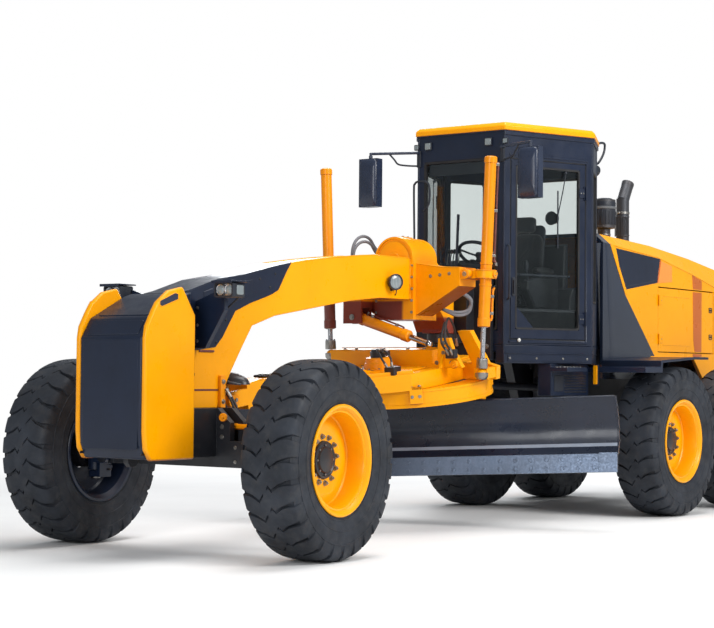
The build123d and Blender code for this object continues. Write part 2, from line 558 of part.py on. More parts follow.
HOOD_DOOR = (-3700, -2450, 1490, 2120)      # side door opening: x, x, z, z
HOOD_HINGE_X, HOOD_HINGE_Y = -2459, 612
FAIRING_EDGE = [(-1200, 1200), (-1200, 2700), (-1420, 2700), (-1473, 2466), (-1770, 2020), (-2391, 1444),
                (-2391, 1200)]
with BuildPart() as hood:
    loft(list(hood_body(0)), ruled=True)
    loft(list(hood_body(HOOD_SKIN)), ruled=True, mode=Mode.SUBTRACT)
    block(HOOD_DOOR[0], HOOD_DOOR[1], -700, 700, HOOD_DOOR[2], HOOD_DOOR[3], mode=Mode.SUBTRACT)
    # wheel arch notch
    plate([(-3476, 1200), (-3456, 1230), (-3225, 1450), (-2300, 1444), (-2300, 1200)], Plane.XZ, 700, both=True,
          mode=Mode.SUBTRACT)
    plate(FAIRING_EDGE, Plane.XZ, 800, both=True, mode=Mode.SUBTRACT)
built["hood"] = hood
with BuildPart() as hood_fairing:
    loft(list(hood_body(0)), ruled=True)
    loft(list(hood_body(HOOD_SKIN)), ruled=True, mode=Mode.SUBTRACT)
    plate([(-2300, 1200), (-2300, 1444), (-2500, 1444), (-2500, 1200)], Plane.XZ, 700, both=True, mode=Mode.SUBTRACT)
    plate(FAIRING_EDGE, Plane.XZ, 800, both=True, mode=Mode.INTERSECT)
built["hood_fairing"] = hood_fairing
for name, s in (("left", 1), ("right", -1)):
    with BuildPart() as hood_door:
        block(HOOD_DOOR[0] + 8, HOOD_DOOR[1] - 8, s * 572, s * 598, HOOD_DOOR[2] + 8, HOOD_DOOR[3] - 10)
        # hinge knuckles at the front edge
        for z in (1620, 1990):
            bar((HOOD_HINGE_X, s * HOOD_HINGE_Y, z - 50), (HOOD_HINGE_X, s * HOOD_HINGE_Y, z + 50), 9)
            block(HOOD_HINGE_X - 9, HOOD_HINGE_X - 2, s * 590, s * HOOD_HINGE_Y, z - 50, z + 50)
    built["hood_door_" + name] = hood_door

with BuildPart() as exhaust_stack:
    # exhaust pipe, bent back at the top
    bar((-2430, 230, 2440), (-2430, 230, 2980), 62)
    bar((-2430, 230, 2960), (-2530, 230, 3130), 60)
    # intake pre-cleaner
    bar((-1990, 260, 2480), (-1990, 260, 2680), 62)
    bar((-1990, 260, 2660), (-1990, 260, 2930), 110)
    # each stands on the hood
    loft(list(hood_body(0)), ruled=True, mode=Mode.SUBTRACT)
built["exhaust_stack"] = exhaust_stack

# ---------------------------------------------------------------- cab
CAB_PLAN = [(CAB_FRONT_X, CAB_FRONT_Y), (CAB_WIDE_X, CAB_WIDE_Y), (CAB_REAR_X, CAB_REAR_Y)]
CAB_RING = CAB_PLAN + [(x, -y) for x, y in reversed(CAB_PLAN)]

with BuildPart() as cab_floor:
    with BuildSketch(level(CAB_FLOOR_Z)):
        Polygon(*CAB_RING, align=None)
    extrude(amount=CAB_WALL_Z - CAB_FLOOR_Z)
    # skirt below, outboard of the rails
    with BuildSketch(level(CAB_SKIRT_Z)):
        Polygon(*CAB_RING, align=None)
        Polygon((200, 360), (-1340, 360), (-1340, -360), (200, -360), align=None, mode=Mode.SUBTRACT)
    extrude(amount=CAB_FLOOR_Z - CAB_SKIRT_Z)
built["cab_floor"] = cab_floor

DOOR_RUN = hypot(CAB_FRONT_X - CAB_WIDE_X, CAB_WIDE_Y - CAB_FRONT_Y)


def door_frame(s):
    """Frame on a door facet: origin at the rear corner, x towards the front, y outwards, z up."""
    forward = Vector(CAB_FRONT_X - CAB_WIDE_X, s * (CAB_FRONT_Y - CAB_WIDE_Y), 0).normalized()
    out = Vector(0, 0, 1).cross(forward)
    return Plane(origin=(CAB_WIDE_X, s * CAB_WIDE_Y, 0), x_dir=forward, z_dir=(0, 0, 1)).location, out


DOOR_Z0, DOOR_Z1 = 1560, 3110
DOOR_HINGE_X, DOOR_HINGE_Y = 80, 12
with BuildPart() as cab_frame:
    with BuildSketch(level(CAB_WALL_Z)):
        Polygon(*CAB_RING, align=None)
        offset(amount=-CAB_WALL, kind=Kind.INTERSECTION, mode=Mode.SUBTRACT)
    extrude(amount=CAB_TOP_Z - CAB_WALL_Z)
    # windscreen and rear window
    block(0, 200, -375, 375, 1640, 3110, mode=Mode.SUBTRACT)
    block(-1400, -1200, -470, 470, 1900, 3060, mode=Mode.SUBTRACT)
    for s in (1, -1):
        frame, out = door_frame(s)
        block(70, DOOR_RUN - 62, -90, 90, DOOR_Z0, DOOR_Z1, frame=frame, mode=Mode.SUBTRACT)
        # rear quarter windows
        quarter = Plane(origin=((CAB_WIDE_X + CAB_REAR_X) / 2, s * (CAB_WIDE_Y + CAB_REAR_Y) / 2, 0),
                        x_dir=Vector(CAB_WIDE_X - CAB_REAR_X, s * (CAB_WIDE_Y - CAB_REAR_Y), 0), z_dir=(0, 0, 1)).location
        block(-205, 205, -90, 90, 1900, 3060, frame=quarter, mode=Mode.SUBTRACT)
built["cab_frame"] = cab_frame

with BuildPart() as cab_roof:
    with BuildSketch(level(CAB_TOP_Z)):
        Polygon(*CAB_RING, align=None)
        offset(amount=20, kind=Kind.INTERSECTION)
    extrude(amount=ROOF_TOP_Z - CAB_TOP_Z)
    chamfer(cab_roof.faces().sort_by(Axis.Z)[-1].edges(), 30)
built["cab_roof"] = cab_roof

with BuildPart() as cab_glass:
    block(100, 106, -373, 373, 1642, 3108)
    block(-1266, -1260, -468, 468, 1902, 3058)
    for s in (1, -1):
        quarter = Plane(origin=((CAB_WIDE_X + CAB_REAR_X) / 2, s * (CAB_WIDE_Y + CAB_REAR_Y) / 2, 0),
                        x_dir=Vector(CAB_WIDE_X - CAB_REAR_X, s * (CAB_WIDE_Y - CAB_REAR_Y), 0), z_dir=(0, 0, 1)).location
        block(-203, 203, -s * 22, -s * 28, 1902, 3058, frame=quarter)
built["cab_glass"] = cab_glass

for name, s in (("left", 1), ("right", -1)):
    frame, out = door_frame(s)
    with BuildPart() as door:
        block(82, DOOR_RUN - 74, -s * 6, -s * 46, DOOR_Z0 + 10, DOOR_Z1 - 10, frame=frame)
        block(142, DOOR_RUN - 124, -90, 90, DOOR_Z0 + 90, DOOR_Z1 - 60, frame=frame, mode=Mode.SUBTRACT)
        # hinge knuckles at the rear edge
        for z in (1750, 2850):
            bar((DOOR_HINGE_X, s * DOOR_HINGE_Y, z - 60), (DOOR_HINGE_X, s * DOOR_HINGE_Y, z + 60), 9, frame=frame)
            block(DOOR_HINGE_X, 98, s * 4, -s * 16, z - 60, z + 60, frame=frame)
    built["cab_door_" + name] = door
    with BuildPart() as pane:
        block(144, DOOR_RUN - 126, -s * 22, -s * 28, DOOR_Z0 + 92, DOOR_Z1 - 62, frame=frame)
    built["door_glass_" + name] = pane

with BuildPart() as operator_seat:
    block(-940, -500, -230, 230, 1900, 2030)
    plate([(-900, 2030), (-820, 2030), (-900, 2700), (-980, 2700)], Plane.XZ, 220, both=True)
    block(-860, -600, -150, 150, CAB_WALL_Z, 1900)
built["operator_seat"] = operator_seat

with BuildPart() as steering_console:
    plate([(60, CAB_WALL_Z), (-60, CAB_WALL_Z), (-180, 2150), (-120, 2260), (-40, 2200)], Plane.XZ, 130, both=True)
    bar((-130, 0, 2190), (-203, 0, 2309), 24)
    with Locations(Plane(origin=(-200, 0, 2305), z_dir=(-0.55, 0, 0.83)).location):
        Torus(195, 16)
        Box(380, 40, 14)
built["steering_console"] = steering_console

with BuildPart() as fenders_and_steps:
    for s in (1, -1):
        # fender in front of the mid wheel
        plate([(-1010, 1290), (-1010, 1340), (-1320, 1340), (-1320, 1400), (-2000, 1440), (-2290, 1440),
               (-2290, 1418), (-2000, 1418), (-1345, 1378), (-1345, 1290)], side(s * 600), -s * 600)
    # battery box with a step under the left side of the cab, step under the right side
    block(-1000, -330, 510, 640, 1082, CAB_SKIRT_Z)
    block(-680, -330, 640, 800, 1290, 1330)
    block(-680, -330, -460, -800, 1275, CAB_SKIRT_Z)
built["fenders_and_steps"] = fenders_and_steps

with BuildPart() as mirrors:
    for s in (1, -1):
        block(290, 370, s * 715, s * 910, 2725, 3150)
        bar((330, s * 812, 3140), (330, s * 812, 3200), 12)
        bar((330, s * 824, 3196), (160, s * 420, 3196), 12)
        bar((166, s * 430, 3196), (130, s * 430, 3196), 14)
built["mirrors"] = mirrors

# ---------------------------------------------------------------- write the pieces
for name, piece in built.items():
    piece.part.label = name
    export_step(piece.part, "parts/" + name + ".step")
print(len(built), "pieces")
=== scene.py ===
import json
import math
from math import sin, cos, pi, radians, hypot, atan2, sqrt

import bmesh
import bpy
import numpy as np
from mathutils import Matrix, Vector

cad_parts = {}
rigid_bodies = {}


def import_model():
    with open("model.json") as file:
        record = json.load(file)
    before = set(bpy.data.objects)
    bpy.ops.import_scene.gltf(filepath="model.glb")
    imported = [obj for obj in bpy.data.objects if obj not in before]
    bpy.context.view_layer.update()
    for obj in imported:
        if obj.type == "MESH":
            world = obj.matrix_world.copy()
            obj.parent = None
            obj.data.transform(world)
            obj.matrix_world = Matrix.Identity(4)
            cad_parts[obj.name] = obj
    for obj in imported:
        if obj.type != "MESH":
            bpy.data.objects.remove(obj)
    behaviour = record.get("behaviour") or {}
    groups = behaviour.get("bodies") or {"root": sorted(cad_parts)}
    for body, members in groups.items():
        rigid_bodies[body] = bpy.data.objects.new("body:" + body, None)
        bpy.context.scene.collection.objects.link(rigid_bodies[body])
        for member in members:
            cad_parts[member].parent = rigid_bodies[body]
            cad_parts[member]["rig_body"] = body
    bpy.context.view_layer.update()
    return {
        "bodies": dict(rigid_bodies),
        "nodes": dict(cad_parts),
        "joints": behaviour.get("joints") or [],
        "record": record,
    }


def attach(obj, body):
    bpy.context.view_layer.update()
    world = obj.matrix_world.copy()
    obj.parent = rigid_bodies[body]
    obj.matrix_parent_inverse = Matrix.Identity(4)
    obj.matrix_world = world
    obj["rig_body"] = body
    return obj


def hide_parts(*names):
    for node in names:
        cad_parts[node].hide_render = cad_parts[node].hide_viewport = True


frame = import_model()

NODES = frame["nodes"]

# =============================================================== materials


def new_material(name):
    m = bpy.data.materials.new(name)
    m.use_nodes = True
    nt = m.node_tree
    nt.nodes.clear()
    out = nt.nodes.new("ShaderNodeOutputMaterial")
    bsdf = nt.nodes.new("ShaderNodeBsdfPrincipled")
    nt.links.new(bsdf.outputs[0], out.inputs[0])
    return m, nt, bsdf, out


def noise(nt, scale, detail=3.0, rough=0.55, coords=None, stretch=None, distort=0.0):
    """Noise in the object's own coordinates."""
    if coords is None:
        coords = nt.nodes.new("ShaderNodeTexCoord").outputs["Object"]
    if stretch is not None:
        mp = nt.nodes.new("ShaderNodeMapping")
        mp.inputs["Scale"].default_value = stretch
        nt.links.new(coords, mp.inputs["Vector"])
        coords = mp.outputs[0]
    n = nt.nodes.new("ShaderNodeTexNoise")
    n.inputs["Scale"].default_value = scale
    n.inputs["Detail"].default_value = detail
    n.inputs["Roughness"].default_value = rough
    n.inputs["Distortion"].default_value = distort
    nt.links.new(coords, n.inputs["Vector"])
    return n.outputs["Fac"]


def ramp(nt, value, lo, hi, a=0.0, b=1.0):
    r = nt.nodes.new("ShaderNodeMapRange")
    r.clamp = True
    r.inputs["From Min"].default_value = lo
    r.inputs["From Max"].default_value = hi
    r.inputs["To Min"].default_value = a
    r.inputs["To Max"].default_value = b
    nt.links.new(value, r.inputs["Value"])
    return r.outputs[0]


def maths(nt, op, a, b=None):
    n = nt.nodes.new("ShaderNodeMath")
    n.operation = op
    for i, v in enumerate((a, b)):
        if v is None:
            continue
        if isinstance(v, (int, float)):
            n.inputs[i].default_value = v
        else:
            nt.links.new(v, n.inputs[i])
    return n.outputs[0]


def mix(nt, fac, a, b):
    n = nt.nodes.new("ShaderNodeMix")
    n.data_type = "RGBA"
    if isinstance(fac, (int, float)):
        n.inputs[0].default_value = fac
    else:
        nt.links.new(fac, n.inputs[0])
    for i, v in ((6, a), (7, b)):
        if isinstance(v, (tuple, list)):
            n.inputs[i].default_value = (*v[:3], 1.0)
        else:
            nt.links.new(v, n.inputs[i])
    return n.outputs[2]


def bump(nt, height, strength, distance, normal=None):
    b = nt.nodes.new("ShaderNodeBump")
    b.inputs["Strength"].default_value = strength
    b.inputs["Distance"].default_value = distance
    nt.links.new(height, b.inputs["Height"])
    if normal is not None:
        nt.links.new(normal, b.inputs["Normal"])
    return b.outputs[0]


def edge_mask(nt, radius):
    """About 0 on flat faces, and up to 1 along sharp edges."""
    bev = nt.nodes.new("ShaderNodeBevel")
    bev.samples = 2
    bev.inputs["Radius"].default_value = radius
    geo = nt.nodes.new("ShaderNodeNewGeometry")
    dot = nt.nodes.new("ShaderNodeVectorMath")
    dot.operation = "DOT_PRODUCT"
    nt.links.new(bev.outputs[0], dot.inputs[0])
    nt.links.new(geo.outputs["Normal"], dot.inputs[1])
    return ramp(nt, dot.outputs["Value"], 0.995, 0.85), bev.outputs[0]


def upward(nt):
    geo = nt.nodes.new("ShaderNodeNewGeometry")
    sep = nt.nodes.new("ShaderNodeSeparateXYZ")
    nt.links.new(geo.outputs["Normal"], sep.inputs[0])
    return sep.outputs["Z"]


DUST = (0.36, 0.29, 0.21)


def paint(name, colour, dark=0.82, light=1.08, rough=(0.26, 0.42), coat=0.35, wear=(0.75, 0.62, 0.42), wear_amount=0.35,
          dust=0.12, metallic=0.0, edge=0.004, underside_shade=None, level=0.45, shade_zones=()):
    """Machine paint: cloudy colour, orange peel, rubbed edges, dust on the ledges, and painted shade on faces that look
    down and in given zones.
    """
    m, nt, b, out = new_material(name)
    c0 = tuple(min(1.0, c * dark) for c in colour)
    c1 = tuple(min(1.0, c * light) for c in colour)
    cloud = ramp(nt, noise(nt, 1.7, 4.0), 0.36, 0.66)
    fine = ramp(nt, noise(nt, 38.0, 3.0), 0.3, 0.7)
    both = maths(nt, "ADD", maths(nt, "MULTIPLY", cloud, 0.75), maths(nt, "MULTIPLY", fine, 0.25))
    col = mix(nt, both, c0, c1)
    # dust gathers on faces that look up, in patches
    patch = ramp(nt, noise(nt, 5.5, 6.0, 0.65), 0.46, 0.78)
    up = ramp(nt, upward(nt), 0.55, 1.0)
    soil = maths(nt, "MULTIPLY", maths(nt, "MULTIPLY", patch, up), dust)
    col = mix(nt, soil, col, DUST)
    if underside_shade is not None:
        # painted shade: faces that look down are darkened towards the given deep red-brown
        low = ramp(nt, maths(nt, "MULTIPLY", upward(nt), -1.0), 0.25, 0.8)
        col = mix(nt, maths(nt, "MULTIPLY", low, 0.8), col, underside_shade)
    for colour2, limits in shade_zones:
        # painted shade on a part of the piece, given as (axis, from, to) in metres
        sep = nt.nodes.new("ShaderNodeSeparateXYZ")
        nt.links.new(nt.nodes.new("ShaderNodeTexCoord").outputs["Object"], sep.inputs[0])
        part = None
        for axis, lo, hi in limits:
            r = ramp(nt, sep.outputs[axis], lo, hi)
            part = r if part is None else maths(nt, "MULTIPLY", part, r)
        col = mix(nt, part, col, mix(nt, both, tuple(c * 0.75 for c in colour2), colour2))
    mask, normal = edge_mask(nt, edge)
    chips = ramp(nt, noise(nt, 26.0, 5.0, 0.7), 0.5, 0.64)
    worn = maths(nt, "MULTIPLY", maths(nt, "MULTIPLY", mask, chips), wear_amount)
    col = mix(nt, worn, col, wear)
    nt.links.new(col, b.inputs["Base Color"])
    r = ramp(nt, noise(nt, 7.0, 5.0, 0.6), 0.35, 0.7, rough[0], rough[1])
    r = maths(nt, "ADD", r, maths(nt, "MULTIPLY", maths(nt, "ADD", soil, worn), 0.5))
    nt.links.new(r, b.inputs["Roughness"])
    peel = noise(nt, 170.0, 2.0)
    n2 = bump(nt, peel, 0.06, 0.0012, normal)
    nt.links.new(n2, b.inputs["Normal"])
    b.inputs["Metallic"].default_value = metallic
    b.inputs["Coat Weight"].default_value = coat
    b.inputs["Coat Roughness"].default_value = 0.12
    b.inputs["Specular IOR Level"].default_value = level
    return m


def steel(name, colour=(0.56, 0.57, 0.59), rough=(0.18, 0.34), metallic=1.0, brush=None, stain=(0.30, 0.27, 0.24), stain_amount=0.25):
    m, nt, b, out = new_material(name)
    cloud = ramp(nt, noise(nt, 3.0, 5.0, 0.6), 0.42, 0.75)
    col = mix(nt, maths(nt, "MULTIPLY", cloud, stain_amount), colour, stain)
    lines = noise(nt, 60.0, 3.0, 0.6, stretch=brush or (1, 1, 1))
    col = mix(nt, ramp(nt, lines, 0.35, 0.7, 0.0, 0.35), col, tuple(c * 0.7 for c in colour))
    nt.links.new(col, b.inputs["Base Color"])
    nt.links.new(ramp(nt, lines, 0.3, 0.7, rough[0], rough[1]), b.inputs["Roughness"])
    mask, normal = edge_mask(nt, 0.003)
    nt.links.new(bump(nt, lines, 0.12, 0.0012, normal), b.inputs["Normal"])
    b.inputs["Metallic"].default_value = metallic
    return m


def rubber(name, colour=(0.030, 0.033, 0.040), grey=(0.075, 0.082, 0.095), rough=(0.55, 0.8), grain=220.0, dust=0.18, depth=0.0012):
    m, nt, b, out = new_material(name)
    cloud = ramp(nt, noise(nt, 3.2, 6.0, 0.62), 0.36, 0.7)
    col = mix(nt, cloud, colour, grey)
    soil = maths(nt, "MULTIPLY", ramp(nt, noise(nt, 9.0, 7.0, 0.7), 0.5, 0.78), dust)
    col = mix(nt, soil, col, (0.26, 0.23, 0.19))
    nt.links.new(col, b.inputs["Base Color"])
    r = ramp(nt, noise(nt, 14.0, 4.0), 0.3, 0.7, rough[0], rough[1])
    nt.links.new(r, b.inputs["Roughness"])
    h = noise(nt, grain, 3.0)
    nt.links.new(bump(nt, h, 0.25, depth), b.inputs["Normal"])
    b.inputs["Specular IOR Level"].default_value = 0.35
    return m


def plastic(name, colour, rough=(0.4, 0.6), grain=420.0, light=1.35, strength=0.15):
    m, nt, b, out = new_material(name)
    cloud = ramp(nt, noise(nt, 4.0, 4.0), 0.35, 0.7)
    col = mix(nt, cloud, colour, tuple(min(1.0, c * light) for c in colour))
    nt.links.new(col, b.inputs["Base Color"])
    nt.links.new(ramp(nt, noise(nt, 12.0, 3.0), 0.3, 0.7, rough[0], rough[1]), b.inputs["Roughness"])
    mask, normal = edge_mask(nt, 0.003)
    nt.links.new(bump(nt, noise(nt, grain, 2.0), strength, 0.0006, normal), b.inputs["Normal"])
    return m


def cloth(name, colour=(0.035, 0.037, 0.042), other=(0.07, 0.072, 0.08), scale=420.0):
    """Woven seat cloth."""
    m, nt, b, out = new_material(name)
    tc = nt.nodes.new("ShaderNodeTexCoord").outputs["Object"]
    waves = []
    for d in ("Y", "Z"):
        w = nt.nodes.new("ShaderNodeTexWave")
        w.wave_type = "BANDS"
        w.bands_direction = d
        w.inputs["Scale"].default_value = scale
        w.inputs["Distortion"].default_value = 0.6
        w.inputs["Detail"].default_value = 1.0
        nt.links.new(tc, w.inputs["Vector"])
        waves.append(w.outputs["Fac"])
    weave = maths(nt, "MULTIPLY", waves[0], waves[1])
    cloud = ramp(nt, noise(nt, 8.0, 4.0), 0.3, 0.75)
    col = mix(nt, maths(nt, "MULTIPLY", cloud, 0.6), colour, other)
    col = mix(nt, maths(nt, "MULTIPLY", weave, 0.5), col, other)
    nt.links.new(col, b.inputs["Base Color"])
    nt.links.new(ramp(nt, weave, 0.0, 1.0, 0.95, 0.8), b.inputs["Roughness"])
    nt.links.new(bump(nt, weave, 0.35, 0.0012), b.inputs["Normal"])
    b.inputs["Sheen Weight"].default_value = 0.35
    b.inputs["Sheen Roughness"].default_value = 0.5
    return m


def glass(name, tint=(0.915, 0.935, 0.930), haze=0.022):
    """Tinted safety glass: mostly clear, with a light film of dust."""
    m, nt, b, out = new_material(name)
    film = ramp(nt, noise(nt, 2.6, 6.0, 0.65), 0.4, 0.8, haze * 0.4, haze)
    clear = nt.nodes.new("ShaderNodeBsdfTransparent")
    clear.inputs[0].default_value = (*tint, 1.0)
    b.inputs["Base Color"].default_value = (0.55, 0.60, 0.62, 1.0)
    b.inputs["Metallic"].default_value = 1.0
    nt.links.new(ramp(nt, noise(nt, 9.0, 3.0), 0.3, 0.7, 0.02, 0.07), b.inputs["Roughness"])
    fr = nt.nodes.new("ShaderNodeFresnel")
    fr.inputs["IOR"].default_value = 1.45
    fac = maths(nt, "ADD", maths(nt, "MULTIPLY", fr.outputs[0], 0.55), film)
    ms = nt.nodes.new("ShaderNodeMixShader")
    nt.links.new(fac, ms.inputs[0])
    nt.links.new(clear.outputs[0], ms.inputs[1])
    nt.links.new(b.outputs[0], ms.inputs[2])
    nt.links.new(ms.outputs[0], out.inputs[0])
    m.blend_method = "BLEND"
    return m


def lens(name, colour, glow=0.0, rough=0.12):
    """Lamp lens or reflector, with moulded ribs."""
    m, nt, b, out = new_material(name)
    w = nt.nodes.new("ShaderNodeTexWave")
    w.bands_direction = "Y"
    w.inputs["Scale"].default_value = 28.0
    nt.links.new(nt.nodes.new("ShaderNodeTexCoord").outputs["Object"], w.inputs["Vector"])
    col = mix(nt, maths(nt, "MULTIPLY", w.outputs["Fac"], 0.35), colour, tuple(min(1.0, c * 1.4 + 0.05) for c in colour))
    nt.links.new(col, b.inputs["Base Color"])
    nt.links.new(ramp(nt, w.outputs["Fac"], 0, 1, rough, rough + 0.1), b.inputs["Roughness"])
    nt.links.new(bump(nt, w.outputs["Fac"], 0.3, 0.002), b.inputs["Normal"])
    b.inputs["Coat Weight"].default_value = 0.8
    b.inputs["Coat Roughness"].default_value = 0.05
    if glow:
        b.inputs["Emission Color"].default_value = (*colour, 1.0)
        b.inputs["Emission Strength"].default_value = glow
    return m


YELLOW = (1.0, 0.385, 0.0)
M = {}
M["yellow"] = paint("paint_yellow", YELLOW, dark=0.90, light=1.02, coat=0.03, wear=(0.80, 0.50, 0.16), wear_amount=0.25, dust=0.05, underside_shade=(0.17, 0.024, 0.014), level=0.22)
M["yellow_top"] = M["yellow"]
# painted shade: dark red-brown on the boom's rear lower part and on the saddle's lower far side
SHADE_BROWN = (0.245, 0.046, 0.028)
M["yellow_neck"] = paint("paint_yellow_boom", YELLOW, dark=0.90, light=1.02, coat=0.03, wear=(0.80, 0.50, 0.16), wear_amount=0.25, dust=0.05, underside_shade=(0.17, 0.024, 0.014), level=0.22,
                         shade_zones=[(SHADE_BROWN, [("Z", 1.745, 1.725), ("X", 0.96, 0.94)])])
M["yellow_saddle"] = paint("paint_yellow_saddle", (1.0, 0.350, 0.0), dark=0.88, light=1.04, coat=0.03, wear=(0.80, 0.50, 0.16), wear_amount=0.3, dust=0.05, underside_shade=(0.15, 0.022, 0.014), level=0.22,
                           shade_zones=[(SHADE_BROWN, [("Z", 1.862, 1.846), ("Y", 0.10, 0.075)])])
M["orange"] = paint("paint_orange", (0.96, 0.315, 0.002), dark=0.82, light=1.05, coat=0.04, dust=0.10, wear=(0.55, 0.40, 0.25), wear_amount=0.35, underside_shade=(0.15, 0.022, 0.012), level=0.25)
M["wheel"] = paint("paint_wheel", (1.0, 0.40, 0.0), dark=0.88, light=1.04, rough=(0.28, 0.40), dust=0.06, coat=0.08, wear=(0.70, 0.40, 0.15), level=0.28)
M["dark"] = paint("paint_charcoal", (0.0065, 0.0125, 0.031), dark=0.8, light=1.3, rough=(0.30, 0.46), coat=0.12, wear=(0.08, 0.10, 0.15), wear_amount=0.4, dust=0.02, level=0.32)
M["panel"] = paint("paint_front_panel", (0.052, 0.062, 0.082), dark=0.85, light=1.15, rough=(0.34, 0.5), coat=0.10, wear=(0.12, 0.13, 0.16), wear_amount=0.3, dust=0.02, level=0.35)
M["black"] = paint("paint_black", (0.010, 0.011, 0.015), dark=0.8, light=1.5, rough=(0.38, 0.55), coat=0.15, wear=(0.2, 0.2, 0.21), wear_amount=0.5, dust=0.22)
M["blade"] = paint("paint_blade", (0.0065, 0.011, 0.024), dark=0.8, light=1.5, rough=(0.24, 0.40), coat=0.25, wear=(0.2, 0.21, 0.25), wear_amount=0.6, dust=0.04, level=0.35)
M["blade_worn"] = steel("worn_blade", (0.36, 0.41, 0.50), rough=(0.28, 0.42), metallic=0.35, brush=(0.15, 0.15, 3.0), stain=(0.20, 0.235, 0.30), stain_amount=0.6)
M["grey"] = paint("paint_grey", (0.12, 0.125, 0.14), dark=0.8, light=1.2, rough=(0.35, 0.5), coat=0.1, wear=(0.3, 0.3, 0.3), wear_amount=0.4)
# dark red for the hood's recesses: painted shade
M["recess_shade"] = paint("painted_recess_shade", (0.56, 0.125, 0.010), dark=0.85, light=1.1, coat=0.1, wear=(0.5, 0.35, 0.2), wear_amount=0.2)
M["coral"] = paint("paint_coral", (0.98, 0.30, 0.045), dark=0.92, light=1.05, coat=0.1, wear=(0.8, 0.5, 0.3), wear_amount=0.15)
M["gloss"] = paint("paint_gloss", (0.012, 0.019, 0.038), dark=0.85, light=1.2, rough=(0.16, 0.24), coat=0.8, wear=(0.2, 0.2, 0.22), wear_amount=0.2, dust=0.04)
# dark brown paint; on the far lift cylinder's lower end and the boom's lower edge strip it is painted shade
M["maroon"] = paint("dark_brown_and_painted_shade", (0.14, 0.030, 0.022), dark=0.8, light=1.3, rough=(0.4, 0.55), coat=0.1, wear=(0.3, 0.2, 0.15))
M["tyre"] = rubber("tyre_rubber", (0.010, 0.0125, 0.018), (0.028, 0.034, 0.046), dust=0.10)
M["hose_grey"] = rubber("hose_sleeve", (0.10, 0.105, 0.12), (0.20, 0.20, 0.22), rough=(0.5, 0.7), grain=500.0, dust=0.05, depth=0.0006)
M["hose"] = rubber("hose_rubber", (0.012, 0.012, 0.014), (0.03, 0.03, 0.034), rough=(0.42, 0.6), grain=500.0, dust=0.08, depth=0.0006)
M["slot"] = paint("slot_navy", (0.020, 0.024, 0.050), rough=(0.4, 0.55), coat=0.1, wear_amount=0.1)
M["seal"] = rubber("window_seal", (0.010, 0.010, 0.012), (0.02, 0.02, 0.022), rough=(0.5, 0.65), grain=600.0, dust=0.05, depth=0.0004)
M["chrome"] = steel("hard_chrome", (0.62, 0.63, 0.66), rough=(0.09, 0.18), stain=(0.20, 0.18, 0.18), stain_amount=0.35)
M["steel"] = steel("ground_steel", (0.60, 0.61, 0.64), rough=(0.20, 0.38), brush=(0.15, 0.15, 3.0))
M["edge"] = steel("edge_steel", (0.115, 0.145, 0.20), rough=(0.30, 0.44), stain=(0.10, 0.11, 0.13), stain_amount=0.5)
M["bolt_dark"] = steel("dark_bolts", (0.035, 0.038, 0.045), rough=(0.35, 0.5), metallic=0.7, stain_amount=0.1)
M["zinc"] = steel("zinc_bolts", (0.34, 0.33, 0.31), rough=(0.30, 0.46), stain=(0.14, 0.11, 0.09), stain_amount=0.5)
M["stack"] = steel("stack_steel", (0.07, 0.075, 0.085), rough=(0.35, 0.55), metallic=0.6, stain=(0.10, 0.06, 0.04), stain_amount=0.4)
M["cast"] = steel("cast_iron", (0.10, 0.10, 0.11), rough=(0.5, 0.7), metallic=0.5, stain_amount=0.5)
M["plastic"] = plastic("black_plastic", (0.010, 0.0135, 0.022))
M["shell"] = plastic("mirror_shell", (0.014, 0.021, 0.042), rough=(0.22, 0.34), light=1.5)
M["trim"] = plastic("cab_trim", (0.013, 0.015, 0.020), rough=(0.5, 0.7))
M["trim_light"] = plastic("cab_lining", (0.10, 0.11, 0.12), rough=(0.6, 0.75), light=1.15)
M["mirror"] = steel("mirror_glass", (0.75, 0.78, 0.80), rough=(0.02, 0.04), stain_amount=0.03)
M["cloth"] = cloth("seat_cloth", (0.012, 0.014, 0.019), (0.034, 0.037, 0.045))
M["glass"] = glass("safety_glass")
M["lamp"] = lens("lamp_lens", (0.20, 0.235, 0.245))
M["mat"] = rubber("floor_mat", (0.014, 0.014, 0.016), (0.03, 0.03, 0.033), rough=(0.6, 0.8), grain=300.0)
M["vinyl"] = plastic("seat_vinyl", (0.018, 0.019, 0.022), rough=(0.42, 0.58), grain=260.0)
M["amber"] = lens("amber_lens", (0.9, 0.30, 0.01))
M["red"] = lens("red_lens", (0.6, 0.02, 0.01))
M["knob"] = plastic("pale_knob", (0.55, 0.55, 0.52), rough=(0.3, 0.45), light=1.2)

# =============================================================== mesh tools
ID = Matrix.Identity(4)


def frame_at(origin, x_dir=(1, 0, 0), z_dir=(0, 0, 1)):
    """Matrix of a frame from its origin, x direction and z direction."""
    z = Vector(z_dir).normalized()
    x = Vector(x_dir)
    x = (x - z * x.dot(z)).normalized()
    y = z.cross(x)
    m = Matrix((x, y, z)).transposed().to_4x4()
    m.translation = Vector(origin)
    return m


